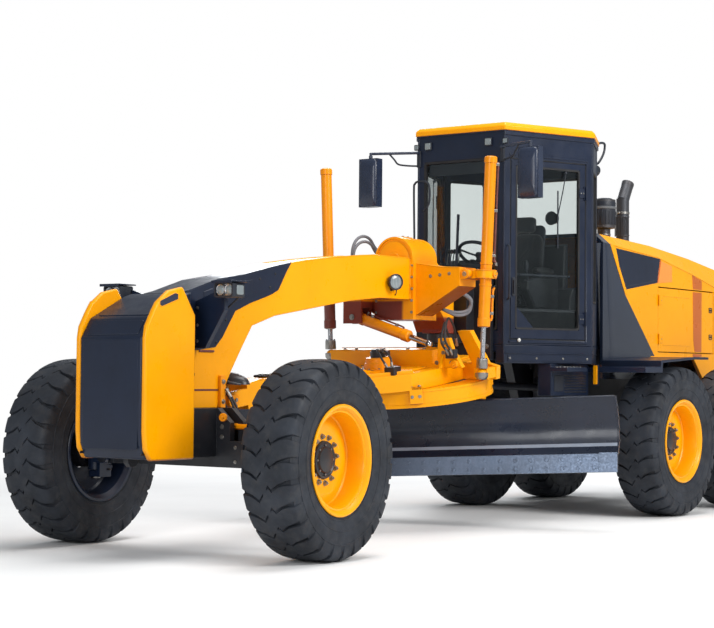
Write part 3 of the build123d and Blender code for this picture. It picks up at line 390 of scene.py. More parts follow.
class Piece:
    """Gathers geometry for one object; lengths in millimetres in a frame whose origin is in metres."""

    def __init__(self, name, body, *mats):
        self.name, self.body, self.mats = name, body, mats
        self.v, self.f, self.mi, self.sm = [], [], [], []

    def add(self, verts, faces, mat=0, smooth=False, frame=ID):
        k = len(self.v)
        for p in verts:
            q = frame @ (Vector(p) * 0.001)
            self.v.append((q.x, q.y, q.z))
        for f in faces:
            self.f.append([i + k for i in f])
            self.mi.append(mat)
            self.sm.append(smooth)
        return self

    def box(self, x0, x1, y0, y1, z0, z1, mat=0, frame=ID, c=0.0):
        """Box, its long edges along its longest side chamfered by c when given."""
        x0, x1 = min(x0, x1), max(x0, x1)
        y0, y1 = min(y0, y1), max(y0, y1)
        z0, z1 = min(z0, z1), max(z0, z1)
        if c <= 0:
            c = min(3.0, (x1 - x0) / 4, (y1 - y0) / 4, (z1 - z0) / 4)
        # chamfered box: 24 corners
        xs, ys, zs = (x0, x1), (y0, y1), (z0, z1)
        verts, idx = [], {}
        for i in (0, 1):
            for j in (0, 1):
                for k in (0, 1):
                    x, y, z = xs[i], ys[j], zs[k]
                    dx, dy, dz = (c if i == 0 else -c), (c if j == 0 else -c), (c if k == 0 else -c)
                    idx[i, j, k, 0] = len(verts); verts.append((x, y + dy, z + dz))
                    idx[i, j, k, 1] = len(verts); verts.append((x + dx, y, z + dz))
                    idx[i, j, k, 2] = len(verts); verts.append((x + dx, y + dy, z))
        faces = []
        for i in (0, 1):
            q = [idx[i, 0, 0, 0], idx[i, 1, 0, 0], idx[i, 1, 1, 0], idx[i, 0, 1, 0]]
            faces.append(q if i else q[::-1])
            q = [idx[0, i, 0, 1], idx[1, i, 0, 1], idx[1, i, 1, 1], idx[0, i, 1, 1]]
            faces.append(q[::-1] if i else q)
            q = [idx[0, 0, i, 2], idx[1, 0, i, 2], idx[1, 1, i, 2], idx[0, 1, i, 2]]
            faces.append(q if i else q[::-1])
        for i in (0, 1):
            for j in (0, 1):
                a, b = idx[i, j, 0, 0], idx[i, j, 1, 0]
                p, q = idx[i, j, 0, 1], idx[i, j, 1, 1]
                f = [a, b, q, p]
                faces.append(f if (i == j) else f[::-1])
                a, b = idx[i, 0, j, 0], idx[i, 1, j, 0]
                p, q = idx[i, 0, j, 2], idx[i, 1, j, 2]
                f = [a, b, q, p]
                faces.append(f[::-1] if (i == j) else f)
                a, b = idx[0, i, j, 1], idx[1, i, j, 1]
                p, q = idx[0, i, j, 2], idx[1, i, j, 2]
                f = [a, b, q, p]
                faces.append(f if (i == j) else f[::-1])
        for i in (0, 1):
            for j in (0, 1):
                for k in (0, 1):
                    f = [idx[i, j, k, 0], idx[i, j, k, 1], idx[i, j, k, 2]]
                    faces.append(f if (i + j + k) % 2 else f[::-1])
        return self.add(verts, faces, mat, False, frame)

    def prism(self, points, lo, hi, frame=ID, mat=0, c=0.0, smooth=False):
        """Outline in the frame's x-y plane, extruded along its z from lo to hi, its rims chamfered by c."""
        pts = [Vector((p[0], p[1])) for p in points]
        area = sum(pts[i].x * pts[(i + 1) % len(pts)].y - pts[(i + 1) % len(pts)].x * pts[i].y for i in range(len(pts)))
        if area < 0:
            pts.reverse()
        if lo > hi:
            lo, hi = hi, lo
        n = len(pts)
        rings = []
        if c > 0:
            inner = []
            for i in range(n):
                a, b, d = pts[i - 1], pts[i], pts[(i + 1) % n]
                e0, e1 = (b - a).normalized(), (d - b).normalized()
                n0, n1 = Vector((-e0.y, e0.x)), Vector((-e1.y, e1.x))
                s = n0 + n1
                k = max(0.35, s.dot(n0))
                inner.append(b + s * (c / k))
            rings = [(inner, lo), (pts, lo + c), (pts, hi - c), (inner, hi)]
        else:
            rings = [(pts, lo), (pts, hi)]
        verts, faces = [], []
        for ring, z in rings:
            verts += [(p.x, p.y, z) for p in ring]
        for r in range(len(rings) - 1):
            for i in range(n):
                j = (i + 1) % n
                faces.append([r * n + i, r * n + j, (r + 1) * n + j, (r + 1) * n + i])
        k = len(self.f)
        self.add(verts, faces, mat, smooth, frame)
        base = len(self.v) - len(verts)
        self.f.append([base + i for i in range(n)][::-1]); self.mi.append(mat); self.sm.append(False)
        top = base + (len(rings) - 1) * n
        self.f.append([top + i for i in range(n)]); self.mi.append(mat); self.sm.append(False)
        return self

    def lathe(self, profile, frame=ID, seg=32, mat=0, smooth=True, close=False, arc=None, cap=True):
        """profile: (z along the frame's z, radius); turned round the frame's z."""
        verts, faces = [], []
        full = arc is None
        a0, a1 = (0.0, 2 * pi) if full else arc
        cols = seg if full else seg + 1
        for z, r in profile:
            for i in range(cols):
                a = a0 + (a1 - a0) * i / seg
                verts.append((r * cos(a), r * sin(a), z))
        n = len(profile)
        for k in range(n if close else n - 1):
            k2 = (k + 1) % n
            for i in range(seg):
                j = (i + 1) % cols if full else i + 1
                faces.append([k * cols + i, k * cols + j, k2 * cols + j, k2 * cols + i])
        self.add(verts, faces, mat, smooth, frame)
        if full and cap and not close:
            base = len(self.v) - len(verts)
            for k, flip in ((0, True), (n - 1, False)):
                if profile[k][1] > 0.5:
                    ring = [base + k * cols + i for i in range(cols)]
                    self.f.append(ring[::-1] if flip else ring); self.mi.append(mat); self.sm.append(False)
        return self

    def rod(self, p, q, r, frame=ID, seg=20, mat=0, c=1.5, r2=None):
        """Round bar from p to q with chamfered ends."""
        p, q = Vector(p), Vector(q)
        d = q - p
        L = d.length
        r2 = r if r2 is None else r2
        side = Vector((0, 0, 1)) if abs(d.normalized().z) < 0.9 else Vector((1, 0, 0))
        fr = frame @ frame_at(p * 0.001, side, d)
        c = min(c, r * 0.4, L * 0.3)
        return self.lathe([(0, r - c), (c, r), (L - c, r2), (L, r2 - c)], fr, seg, mat)

    def bolt(self, p, d, r=12, h=10, frame=ID, mat=0, washer=True):
        """Hexagon head with a washer, standing on p along d."""
        side = Vector((0, 0, 1)) if abs(Vector(d).normalized().z) < 0.9 else Vector((1, 0, 0))
        fr = frame @ frame_at(Vector(p) * 0.001, side, d)
        if washer:
            self.lathe([(0, r * 1.35), (h * 0.18, r * 1.35), (h * 0.22, r * 0.8)], fr, 14, mat, False)
        pts = [(r * cos(pi / 3 * i), r * sin(pi / 3 * i)) for i in range(6)]
        self.prism(pts, h * 0.2, h, fr, mat, c=min(1.2, h * 0.15))
        return self

    def tube(self, points, r, frame=ID, seg=10, mat=0, steps=8, smooth_path=True, rib=None):
        """Round tube along a smooth curve through points."""
        P = [Vector(p) for p in points]
        if smooth_path and len(P) > 2:
            path = []
            ext = [P[0] * 2 - P[1]] + P + [P[-1] * 2 - P[-2]]
            for i in range(1, len(ext) - 2):
                a, b, c2, d = ext[i - 1], ext[i], ext[i + 1], ext[i + 2]
                for k in range(steps):
                    t = k / steps
                    path.append(0.5 * ((2 * b) + (c2 - a) * t + (2 * a - 5 * b + 4 * c2 - d) * t * t + (3 * b - a - 3 * c2 + d) * t ** 3))
            path.append(P[-1])
        else:
            path = P
        n = len(path)
        tang = [(path[min(i + 1, n - 1)] - path[max(i - 1, 0)]).normalized() for i in range(n)]
        ref = Vector((0, 0, 1)) if abs(tang[0].z) < 0.9 else Vector((1, 0, 0))
        u = (ref - tang[0] * ref.dot(tang[0])).normalized()
        verts, faces = [], []
        for i in range(n):
            u = (u - tang[i] * u.dot(tang[i])).normalized()
            w = tang[i].cross(u)
            rr = r if rib is None else r * (1 + rib * (i % 2))
            for k in range(seg):
                a = 2 * pi * k / seg
                verts.append(path[i] + (u * cos(a) + w * sin(a)) * rr)
        for i in range(n - 1):
            for k in range(seg):
                j = (k + 1) % seg
                faces.append([i * seg + k, i * seg + j, (i + 1) * seg + j, (i + 1) * seg + k])
        self.add(verts, faces, mat, True, frame)
        base = len(self.v) - len(verts)
        self.f.append([base + k for k in range(seg)][::-1]); self.mi.append(mat); self.sm.append(False)
        self.f.append([base + (n - 1) * seg + k for k in range(seg)]); self.mi.append(mat); self.sm.append(False)
        return self

    def hose(self, points, r=13, frame=ID, mat=0, end=1, steps=8):
        """Hydraulic hose with crimped fittings at both ends; end: material of the fittings."""
        self.tube(points, r, frame, 10, mat, steps)
        for a, b in ((points[0], points[1]), (points[-1], points[-2])):
            a, b = Vector(a), Vector(b)
            d = (b - a).normalized()
            self.rod(a - d * 6, a + d * 46, r * 1.28, frame, 10, end, 2)
            self.rod(a - d * 26, a - d * 2, r * 1.45, frame, 6, end, 2)
        return self

    def grid(self, rows, mat=0, smooth=True, frame=ID, wrap=False):
        """Surface through rows of points, all rows of one length."""
        n = len(rows[0])
        verts = [p for row in rows for p in row]
        faces = []
        for i in range(len(rows) - 1):
            for k in range(n if wrap else n - 1):
                j = (k + 1) % n
                faces.append([i * n + k, i * n + j, (i + 1) * n + j, (i + 1) * n + k])
        return self.add(verts, faces, mat, smooth, frame)

    def build(self, bevel=0.0, angle=32.0, replaces=None, segs=2):
        me = bpy.data.meshes.new(self.name)
        me.from_pydata(self.v, [], self.f)
        me.polygons.foreach_set("material_index", self.mi)
        me.polygons.foreach_set("use_smooth", self.sm)
        me.update()
        bm = bmesh.new()
        bm.from_mesh(me)
        bmesh.ops.recalc_face_normals(bm, faces=bm.faces[:])
        bm.to_mesh(me)
        bm.free()
        me.set_sharp_from_angle(angle=radians(angle))
        ob = bpy.data.objects.new(self.name, me)
        bpy.context.scene.collection.objects.link(ob)
        for m in self.mats:
            me.materials.append(M[m])
        if bevel:
            bv = ob.modifiers.new("soft_edges", "BEVEL")
            bv.width = bevel
            bv.segments = segs
            bv.limit_method = "ANGLE"
            bv.angle_limit = radians(34)
            bv.use_clamp_overlap = True
        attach(ob, self.body)
        if replaces:
            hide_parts(*([replaces] if isinstance(replaces, str) else replaces))
        return ob


def soften(node, width, mat=None, body=None, angle=30.0, segs=2):
    """A copy of a CAD node with its edges rounded, shown in its place."""
    src = NODES[node]
    me = src.data.copy()
    me.name = "soft_" + node
    bm = bmesh.new()
    bm.from_mesh(me)
    bmesh.ops.remove_doubles(bm, verts=bm.verts[:], dist=2e-5)
    bmesh.ops.dissolve_limit(bm, angle_limit=radians(1.0), verts=bm.verts[:], edges=bm.edges[:])
    bm.to_mesh(me)
    bm.free()
    if me.attributes.get("custom_normal"):
        me.attributes.remove(me.attributes["custom_normal"])
    for p in me.polygons:
        p.use_smooth = True
    me.set_sharp_from_angle(angle=radians(angle))
    ob = bpy.data.objects.new("soft_" + node, me)
    bpy.context.scene.collection.objects.link(ob)
    me.materials.clear()
    me.materials.append(M[mat] if mat else (src.data.materials[0] if src.data.materials else M["yellow"]))
    bv = ob.modifiers.new("soft_edges", "BEVEL")
    bv.width = width
    bv.segments = segs
    bv.limit_method = "ANGLE"
    bv.angle_limit = radians(angle)
    bv.use_clamp_overlap = True
    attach(ob, src["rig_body"])
    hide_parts(node)
    return ob


# frames of the machine, as in the CAD model
PITCH, TURN = radians(8.1), radians(17.7)
EX = Vector((cos(PITCH), 0, -sin(PITCH)))
EZ = Vector((sin(PITCH), 0, cos(PITCH)))
EY = Vector((0, 1, 0))
BALL = Vector((3280, 0, 1060))
CENTRE = BALL - EX * 2380
KX = EX * cos(TURN) + EY * sin(TURN)
KY = EY * cos(TURN) - EX * sin(TURN)
DRAW = frame_at(BALL * 0.001, EX, EZ)
KNIFE = frame_at(CENTRE * 0.001, KX, EZ)
SIDE = frame_at((0, 0, 0), (1, 0, 0), (0, -1, 0))      # x is X, y is Z, z is -Y
FRONT = frame_at((0, 0, 0), (0, 1, 0), (1, 0, 0))      # x is Y, y is Z, z is X
TOP = ID

# =============================================================== materials of the CAD nodes
LOOK = {
    "yellow_neck": "gooseneck",
    "yellow_saddle": "saddle",
    "yellow": "circle counterweight_plates hood hood_door_left hood_door_right drawbar lift_trunnion_left lift_trunnion_right",
    "orange": "lean_bar shift_barrel lift_barrel_left lift_barrel_right",
    "gloss": "hood_fairing",
    "dark": "knuckle_left knuckle_right lean_yoke_left lean_yoke_right cab_floor cab_frame cab_door_left cab_door_right fenders_and_steps front_counterweight front_lamps",
    "black": "rear_frame drawbar_ball tandem_axle front_axle tie_rod blade_carrier tip_barrel",
    "blade": "moldboard",
    "edge": "cutting_edge",
    "chrome": "lift_rod_left lift_rod_right shift_rod tip_rod",
    "wheel": "rim_front_left rim_front_right rim_mid_left rim_mid_right rim_rear_left rim_rear_right",
    "tyre": "tyre_front_left tyre_front_right tyre_mid_left tyre_mid_right tyre_rear_left tyre_rear_right",
    "glass": "cab_glass door_glass_left door_glass_right",
    "cloth": "operator_seat",
    "trim": "steering_console",
    "cast": "engine_block",
    "stack": "exhaust_stack",
    "shell": "mirrors",
    "yellow_top": "cab_roof",
}
for key, names in LOOK.items():
    for n in names.split():
        NODES[n].data.materials.clear()
        NODES[n].data.materials.append(M[key])

# =============================================================== wheels
WHEELS = {
    "front_left": (3.580, 0.960, 1, 4.5, 0.130), "front_right": (3.580, -0.960, -1, 4.5, 0.130),
    "mid_left": (-1.745, 1.030, 1, 0.0, 0.0), "mid_right": (-1.745, -1.030, -1, 0.0, 0.0),
    "rear_left": (-3.235, 1.030, 1, 0.0, 0.0), "rear_right": (-3.235, -1.030, -1, 0.0, 0.0),
}
PITCHES = 28


def tyre_rows():
    """Rows across the tyre: distance from the middle plane, radius, groove half width, groove depth, wave offset (mm on the tread)."""
    rows = []
    half = [(0, 675), (14, 675), (30, 674.8), (52, 674.5), (76, 673.8), (100, 672.6), (122, 671), (144, 668), (162, 664),
            (178, 658), (190, 649), (198, 636), (203, 618), (205, 600), (205, 578), (203.5, 560), (203, 545), (204, 520), (203, 490), (199, 462), (193, 436),
            (187, 414), (181, 396), (176, 384), (174, 376)]
    return half


def tyre_mesh(name, seed):
    """Tyre with wavy cross grooves that open at the shoulders."""
    x, y, out, steer, reach = WHEELS[name]
    o = Vector((-sin(radians(steer)) * out, cos(radians(steer)) * out, 0))
    centre = Vector((x, y, 0.675)) + o * reach
    fr = frame_at(centre, (0, 0, 1), o)
    half = tyre_rows()
    step = 2 * pi / PITCHES
    pitch_mm = step * 672
    rows = []
    sides = [(-1, i) for i in range(len(half) - 1, 0, -1)] + [(1, i) for i in range(0, len(half))]
    table = []
    for s, i in sides:
        w, r = half[i]
        u = w / 190.0
        if w < 30 and i < 3:
            depth, g = 0.0, 6.0
        elif i == 3:
            depth, g = 8.0, 6.0
        elif i <= 12:
            depth = 26.0 if i > 4 else 20.0
            g = 6.5 + 2.0 * max(0.0, u - 0.3) + (9.0 * max(0.0, u - 0.72) / 0.28)
        elif i == 13:
            depth, g = 17.0, 21.0
        elif i == 14:
            depth, g = 10.0, 24.0
        elif i == 15:
            depth, g = 4.0, 26.0
        else:
            depth, g = 0.0, 26.0
        # wave of the groove's centre line across the half tread
        uu = min(1.0, u)
        wave = 30.0 * sin(min(1.0, uu / 0.46) * pi) * (1 if uu < 0.46 else 0) - (26.0 * sin((uu - 0.46) / 0.54 * pi * 0.5) if uu >= 0.46 else 0)
        if s > 0:
            off = wave
        else:
            off = pitch_mm * 0.5 + wave
        # blend over the middle rib
        if i < 3:
            t = (s * w + 30.0) / 60.0
            off = pitch_mm * 0.5 * (1 - t)
        table.append((s * w, r, g, depth, off))
    cols_rel = []
    verts, faces = [], []
    ncol = None
    for w, r, g, depth, off in table:
        row = []
        g2 = g + 4.5
        gap = pitch_mm - 2 * g2
        rel = [(-g2, 0.0), (-g, 1.0), (0.0, 1.0), (g, 1.0), (g2, 0.0)] + [(g2 + gap * t, 0.0) for t in (0.2, 0.4, 0.6, 0.8)]
        lip = 3.0 if depth > 12 and abs(w) > 170 else 0.0
        for k in range(PITCHES):
            for j, (d, down) in enumerate(rel):
                a = k * step + (d + off) / 672.0
                rr = r - depth * down
                ww = w
                if abs(w) > 196:
                    # on the side wall the groove sinks inwards
                    rr = r
                    ww = w - math.copysign(depth * 0.55 * down, w)
                elif abs(w) > 170:
                    rr = r - depth * down * 0.85
                    ww = w - math.copysign(depth * 0.35 * down, w)
                row.append((rr * cos(a), rr * sin(a), ww))
        rows.append(row)
        ncol = len(row)
    p = Piece("tread_" + name, "wheel_" + name, "tyre")
    p.grid(rows, 0, True, fr, wrap=True)
    # bead flanks down to the rim
    for s in (1, -1):
        p.lathe([(s * 174, 376), (s * 171, 368), (s * 168, 352), (s * 160, 336)], fr, 96, 0, cap=False)
        # rings moulded on the side wall
        for r0, w0 in ((398, 182.0), (560, 203.6), (470, 200.0)):
            h = 3.2
            p.lathe([(s * (w0 - 2), r0 - 6), (s * (w0 + h * 0.8), r0 - 3.5), (s * (w0 + h), r0), (s * (w0 + h * 0.8), r0 + 3.5), (s * (w0 - 2), r0 + 6)], fr, 120, 0, cap=False)
    ob = p.build(replaces="tyre_" + name, angle=38)
    return ob


def rim_details(name):
    x, y, out, steer, reach = WHEELS[name]
    o = Vector((-sin(radians(steer)) * out, cos(radians(steer)) * out, 0))
    centre = Vector((x, y, 0.675)) + o * reach
    fr = frame_at(centre, (0, 0, 1), o)
    p = Piece("wheel_rim_" + name, "wheel_" + name, "wheel", "black", "zinc", "hose", "dark")
    # well, lock ring, flange and disc as one turned form (z outboard)
    prof = [(-186, 372), (-180, 376), (-174, 372), (-170, 336), (-150, 331), (150, 331), (166, 338), (171, 360), (174, 373), (180, 377), (187, 374),
            (190, 366), (186, 352), (176, 344), (168, 338), (160, 334), (160, 322), (150, 317), (70, 314), (30, 312), (22, 304), (34, 262), (40, 232), (34, 205), (32, 190), (32, 129),
            (14, 129), (14, 180), (10, 230), (4, 270), (-4, 300), (-20, 314), (-140, 316), (-160, 322), (-176, 340), (-186, 352)]
    k = len(p.f)
    p.lathe(prof, fr, 96, 0, True, close=True)
    cut = len(prof)
    # rows that face inboard take the dark paint: painted shade on the rim's inner side
    for i in range(k, len(p.f)):
        row = (i - k) // 96
        if row < 4 or row >= 25:
            p.mi[i] = 4
    # hub: dark flange, cap, studs and nuts
    p.lathe([(-60, 60.3), (-60, 122), (30, 126), (40, 128), (50, 124), (52, 112), (46, 104), (46, 92), (60, 84), (64, 70), (64, 0.6)], fr, 48, 1)
    for k in range(12):
        a = 2 * pi * k / 12 + 0.13
        q = (158 * cos(a), 158 * sin(a), 32)
        p.bolt(q, (0, 0, 1), 15, 20, fr, 2)
        p.rod((q[0], q[1], 48), (q[0], q[1], 60), 8, fr, 10, 2, 2)
    for k in range(8):
        a = 2 * pi * k / 8
        p.bolt((98 * cos(a), 98 * sin(a), 46), (0, 0, 1), 8, 8, fr, 2, washer=False)
    # valve stem
    p.tube([(0, 306, 30), (0, 300, 60), (0, 296, 84)], 5, fr, 8, 3, 4)
    p.rod((0, 296, 84), (0, 293, 104), 6.5, fr, 8, 2, 1)
    p.build(replaces="rim_" + name, angle=30)


for i, n in enumerate(WHEELS):
    tyre_mesh(n, i)
    rim_details(n)

# =============================================================== rounded copies of the CAD nodes
for n, w in {
    "gooseneck": 0.010, "saddle": 0.008, "counterweight_plates": 0.012, "front_counterweight": 0.012, "hood": 0.010,
    "hood_fairing": 0.040, "hood_door_left": 0.004, "hood_door_right": 0.004, "cab_frame": 0.008, "cab_roof": 0.008,
    "cab_floor": 0.006, "cab_door_left": 0.005, "cab_door_right": 0.005, "drawbar": 0.006, "circle": 0.004,
    "fenders_and_steps": 0.004, "rear_frame": 0.006, "tandem_axle": 0.008, "front_axle": 0.006, "lean_yoke_left": 0.005,
    "lean_yoke_right": 0.005, "knuckle_left": 0.004, "knuckle_right": 0.004, "lift_trunnion_left": 0.004,
    "lift_trunnion_right": 0.004, "engine_block": 0.012, "blade_carrier": 0.004, "mirrors": 0.026, "moldboard": 0.003,
    "lean_bar": 0.003, "tie_rod": 0.003,
}.items():
    soften(n, w)

# =============================================================== outlines
SIDES = (1, -1)


def rrect(x0, x1, y0, y1, r, n=4):
    """Rounded rectangle, counter-clockwise."""
    pts = []
    for cx, cy, a0 in ((x1 - r, y1 - r, 0), (x0 + r, y1 - r, 90), (x0 + r, y0 + r, 180), (x1 - r, y0 + r, 270)):
        for i in range(n + 1):
            a = radians(a0 + 90 * i / n)
            pts.append((cx + r * cos(a), cy + r * sin(a)))
    return pts


def ring_of(p, outer, inner, lo, hi, frame=ID, mat=0, c=0.0):
    """Ring between two outlines of one length, from lo to hi along the frame's z."""
    n = len(outer)
    verts = [(*q, lo) for q in outer] + [(*q, hi) for q in outer] + [(*q, hi) for q in inner] + [(*q, lo) for q in inner]
    faces = []
    for k in range(4):
        a, b = k * n, ((k + 1) % 4) * n
        for i in range(n):
            j = (i + 1) % n
            faces.append([a + i, a + j, b + j, b + i])
    p.add(verts, faces, mat, False, frame)


def grown(points, d):
    """Outline moved outwards by d."""
    pts = [Vector(q) for q in points]
    area = sum(pts[i].x * pts[(i + 1) % len(pts)].y - pts[(i + 1) % len(pts)].x * pts[i].y for i in range(len(pts)))
    if area < 0:
        d = -d
    out = []
    for i in range(len(pts)):
        e0, e1 = (pts[i] - pts[i - 1]).normalized(), (pts[(i + 1) % len(pts)] - pts[i]).normalized()
        n0, n1 = Vector((e0.y, -e0.x)), Vector((e1.y, -e1.x))
        s = n0 + n1
        k = max(0.4, s.dot(n0))
        out.append(tuple(pts[i] + s * (d / k)))
    return out


def seam(p, points, r=3.0, mat=0, frame=ID):
    """Weld bead along straight runs."""
    for a, b in zip(points[:-1], points[1:]):
        p.rod(a, b, r, frame, 6, mat, 0.5)


def clamp_block(p, at, d, w=34, h=20, mat=1, frame=ID):
    """Hose clamp block with its bolt, standing on a face along d."""
    fr = frame @ frame_at(Vector(at) * 0.001, (1, 0, 0) if abs(Vector(d).x) < 0.9 else (0, 0, 1), d)
    p.box(-w / 2, w / 2, -w / 3, w / 3, 0, h, mat, fr)
    p.bolt((0, 0, h), (0, 0, 1), 6, 6, fr, mat, washer=False)


# =============================================================== gooseneck
TOP_LINE = [(2712, 2069), (2950, 2021), (3240, 1956), (3550, 1905), (3860, 1812), (3950, 1792)]
LOW_LINE = [(3950, 1400), (3756, 1409), (3564, 1433), (3489, 1505), (3349, 1694), (3181, 1757), (2951, 1824), (2858, 1865), (2765, 2002)]
p = Piece("gooseneck_cover", "front_frame", "dark", "maroon", "bolt_dark")
for s in SIDES:
    p.prism(LOW_LINE + TOP_LINE, -s * 158, -s * 167, SIDE, 0, c=1.5)
    p.prism([(3700, 1480), (3605, 1490), (3530, 1560), (3395, 1745), (3230, 1800), (3170, 1830), (3170, 1925), (3240, 1915), (3550, 1864), (3700, 1815)],
            -s * 166, -s * 171, SIDE, 0, c=2.5)
    # dark brown strip along the lower edge of the dark zone: painted shade
    p.box(3580, 3740, s * 160, s * 171, 1396, 1411, 1)
    p.box(3515, 3783, s * 158, s * 161.5, 1125, 1139, 1)
    for x, z in ((3880, 1480), (3880, 1740), (3080, 1935), (2900, 1980), (2960, 1880), (3290, 1790), (3455, 1625), (3560, 1465)):
        p.bolt((x, s * 166, z), (0, s, 0), 8, 7, mat=2)
p.prism(TOP_LINE + [(x, z + 8) for x, z in reversed(TOP_LINE)], -167, 167, SIDE, 0)
p.build(bevel=0.002)

p = Piece("gooseneck_welds", "front_frame", "yellow", "zinc", "maroon", "hose")
neck_top = [(740, 2195), (1628, 2195), (1830, 2179), (2094, 2152), (2350, 2122), (2633, 2083), (2712, 2066)]
neck_low = [(3546, 1008), (3386, 1273), (3277, 1431), (3156, 1599), (2890, 1680), (2591, 1727), (2280, 1776), (1958, 1826), (1554, 1864), (1140, 1867)]
for s in SIDES:
    # the side plates stand a little proud of the top and bottom plates
    seam(p, [(x, s * 157, z + 1.5) for x, z in neck_top], 4.5)
    seam(p, [(x, s * 157, z - 1.5) for x, z in neck_low], 4.5)
    # collar welded round the beam in front of the saddle
    seam(p, [(1136, s * 163, 1867), (1136, s * 163, 2190)], 6)
    for k in range(5):
        p.bolt((1131, s * 176, 1760 + k * 95), (1, 0, 0), 9, 9, mat=1)
seam(p, [(1136, -163, 2196), (1136, 163, 2196)], 6)
p.build()

p = Piece("lift_hoses", "front_frame", "hose", "hose_grey", "zinc")
for s in SIDES:
    for k in (0, 1):
        o = k * 46
        y = s * (560 - 14 * k)
        if s < 0:
            p.tube([(948, y, 2135), (948, y, 2230 - o * 0.3), (930, y, 2330 - o * 0.6), (870, y, 2400 - o * 0.9), (780, y, 2428 - o), (690, y, 2410 - o), (615, y, 2345 - o), (575, y * 0.9, 2250), (560, y * 0.75, 2120), (600, y * 0.5, 2010), (700, y * 0.35, 1960), (790, s * 160, 1950)], 13, ID, 10, 1, 6)
        else:
            p.tube([(870 - o, s * 290, 1900), (760 - o, s * 390, 1925), (665 - o * 0.5, s * 430, 1885), (630, s * 430, 1820 + o * 0.5), (660, s * 410, 1762 + o * 0.5), (750, s * 360, 1745 + o * 0.5), (858, s * 300, 1790)], 13, ID, 10, 1, 6)
p.build()

p = Piece("saddle_details", "front_frame", "yellow", "zinc", "orange", "maroon")
FR = frame_at((1.130, 0, 2.190), (0, 1, 0), (1, 0, 0))
p.lathe([(-3, 172), (9, 172), (9, 189), (-3, 189)], FR, 64, 0, False, close=True)
p.lathe([(-2, 150), (5, 150), (7, 146), (7, 60), (12, 56), (12, 0.6)], FR, 48, 0, True, cap=False)
BK = frame_at((0.790, 0, 2.190), (0, 1, 0), (-1, 0, 0))
p.lathe([(-3, 172), (9, 172), (9, 189), (-3, 189)], BK, 64, 0, False, close=True)
for x in (866, 1074):
    for s in SIDES:
        d = 1 if x > 1000 else -1
        p.bolt((x, s * 650, 2060), (d, 0, 0), 20, 16, mat=1)
        p.lathe([(-4, 40), (4, 40), (6, 36), (6, 0.6)], frame_at((x * 0.001 + d * 0.0005, s * 0.650, 2.060), (0, 0, 1), (d, 0, 0)), 28, 2)
for x, d in ((850, -1), (1090, 1)):
    for s in SIDES:
        # raised rim along the arm, and its stiffener
        seam(p, [(x, s * 604, 1970), (x, s * 205, 1743)], 4)
        seam(p, [(x, s * 604, 2114), (x, s * 430, 2122), (x, s * 200, 2156)], 4)
        for k in range(3):
            p.bolt((x, s * (330 + k * 90), 2050 + k * 8), (d, 0, 0), 11, 10, mat=1)
p.box(900, 1040, -30, 30, 2376, 2386, 0, c=3)
for y in (-1, 1):
    p.bolt((935 if y < 0 else 1005, 0, 2386), (0, 0, 1), 10, 9, mat=1)
# lug stiffener of the centre-shift cylinder
p.bolt((1258, -330, 1722), (1, 0, 0), 18, 14, mat=1)
p.bolt((1102, -330, 1722), (-1, 0, 0), 18, 14, mat=1)
p.build()

# =============================================================== work lamps on the boom and headlamps
p = Piece("boom_lamps", "front_frame", "black", "lamp", "maroon", "zinc")
for s in SIDES:
    fr = frame_at((1.403, s * 0.170, 1.992), (0, 0, 1), (0.42, s * 1.0, -0.04))
    p.lathe([(-8, 16), (6, 42), (18, 56), (40, 63), (56, 65), (64, 65), (66, 62), (66, 56), (58, 53)], fr, 36, 0, True, cap=False)
    p.lathe([(58, 54), (62, 46), (65, 28), (66, 0.6)], fr, 36, 1, True, cap=False)
    p.rod((1403, s * 160, 1932), (1410, s * 190, 1936), 14, ID, 12, 0)
    p.prism([(-20, -60), (20, -60), (14, 0), (-14, 0)], -5, 5, frame_at((1.398, s * 0.178, 1.930), (1, 0, 0), (0, 1, 0)) @ Matrix.Rotation(0, 4, "X"), 2, c=1)
    p.tube([(1400, s * 172, 1990), (1370, s * 186, 1950), (1352, s * 176, 1905), (1345, s * 161, 1890)], 5, ID, 8, 0, 5)
p.build()

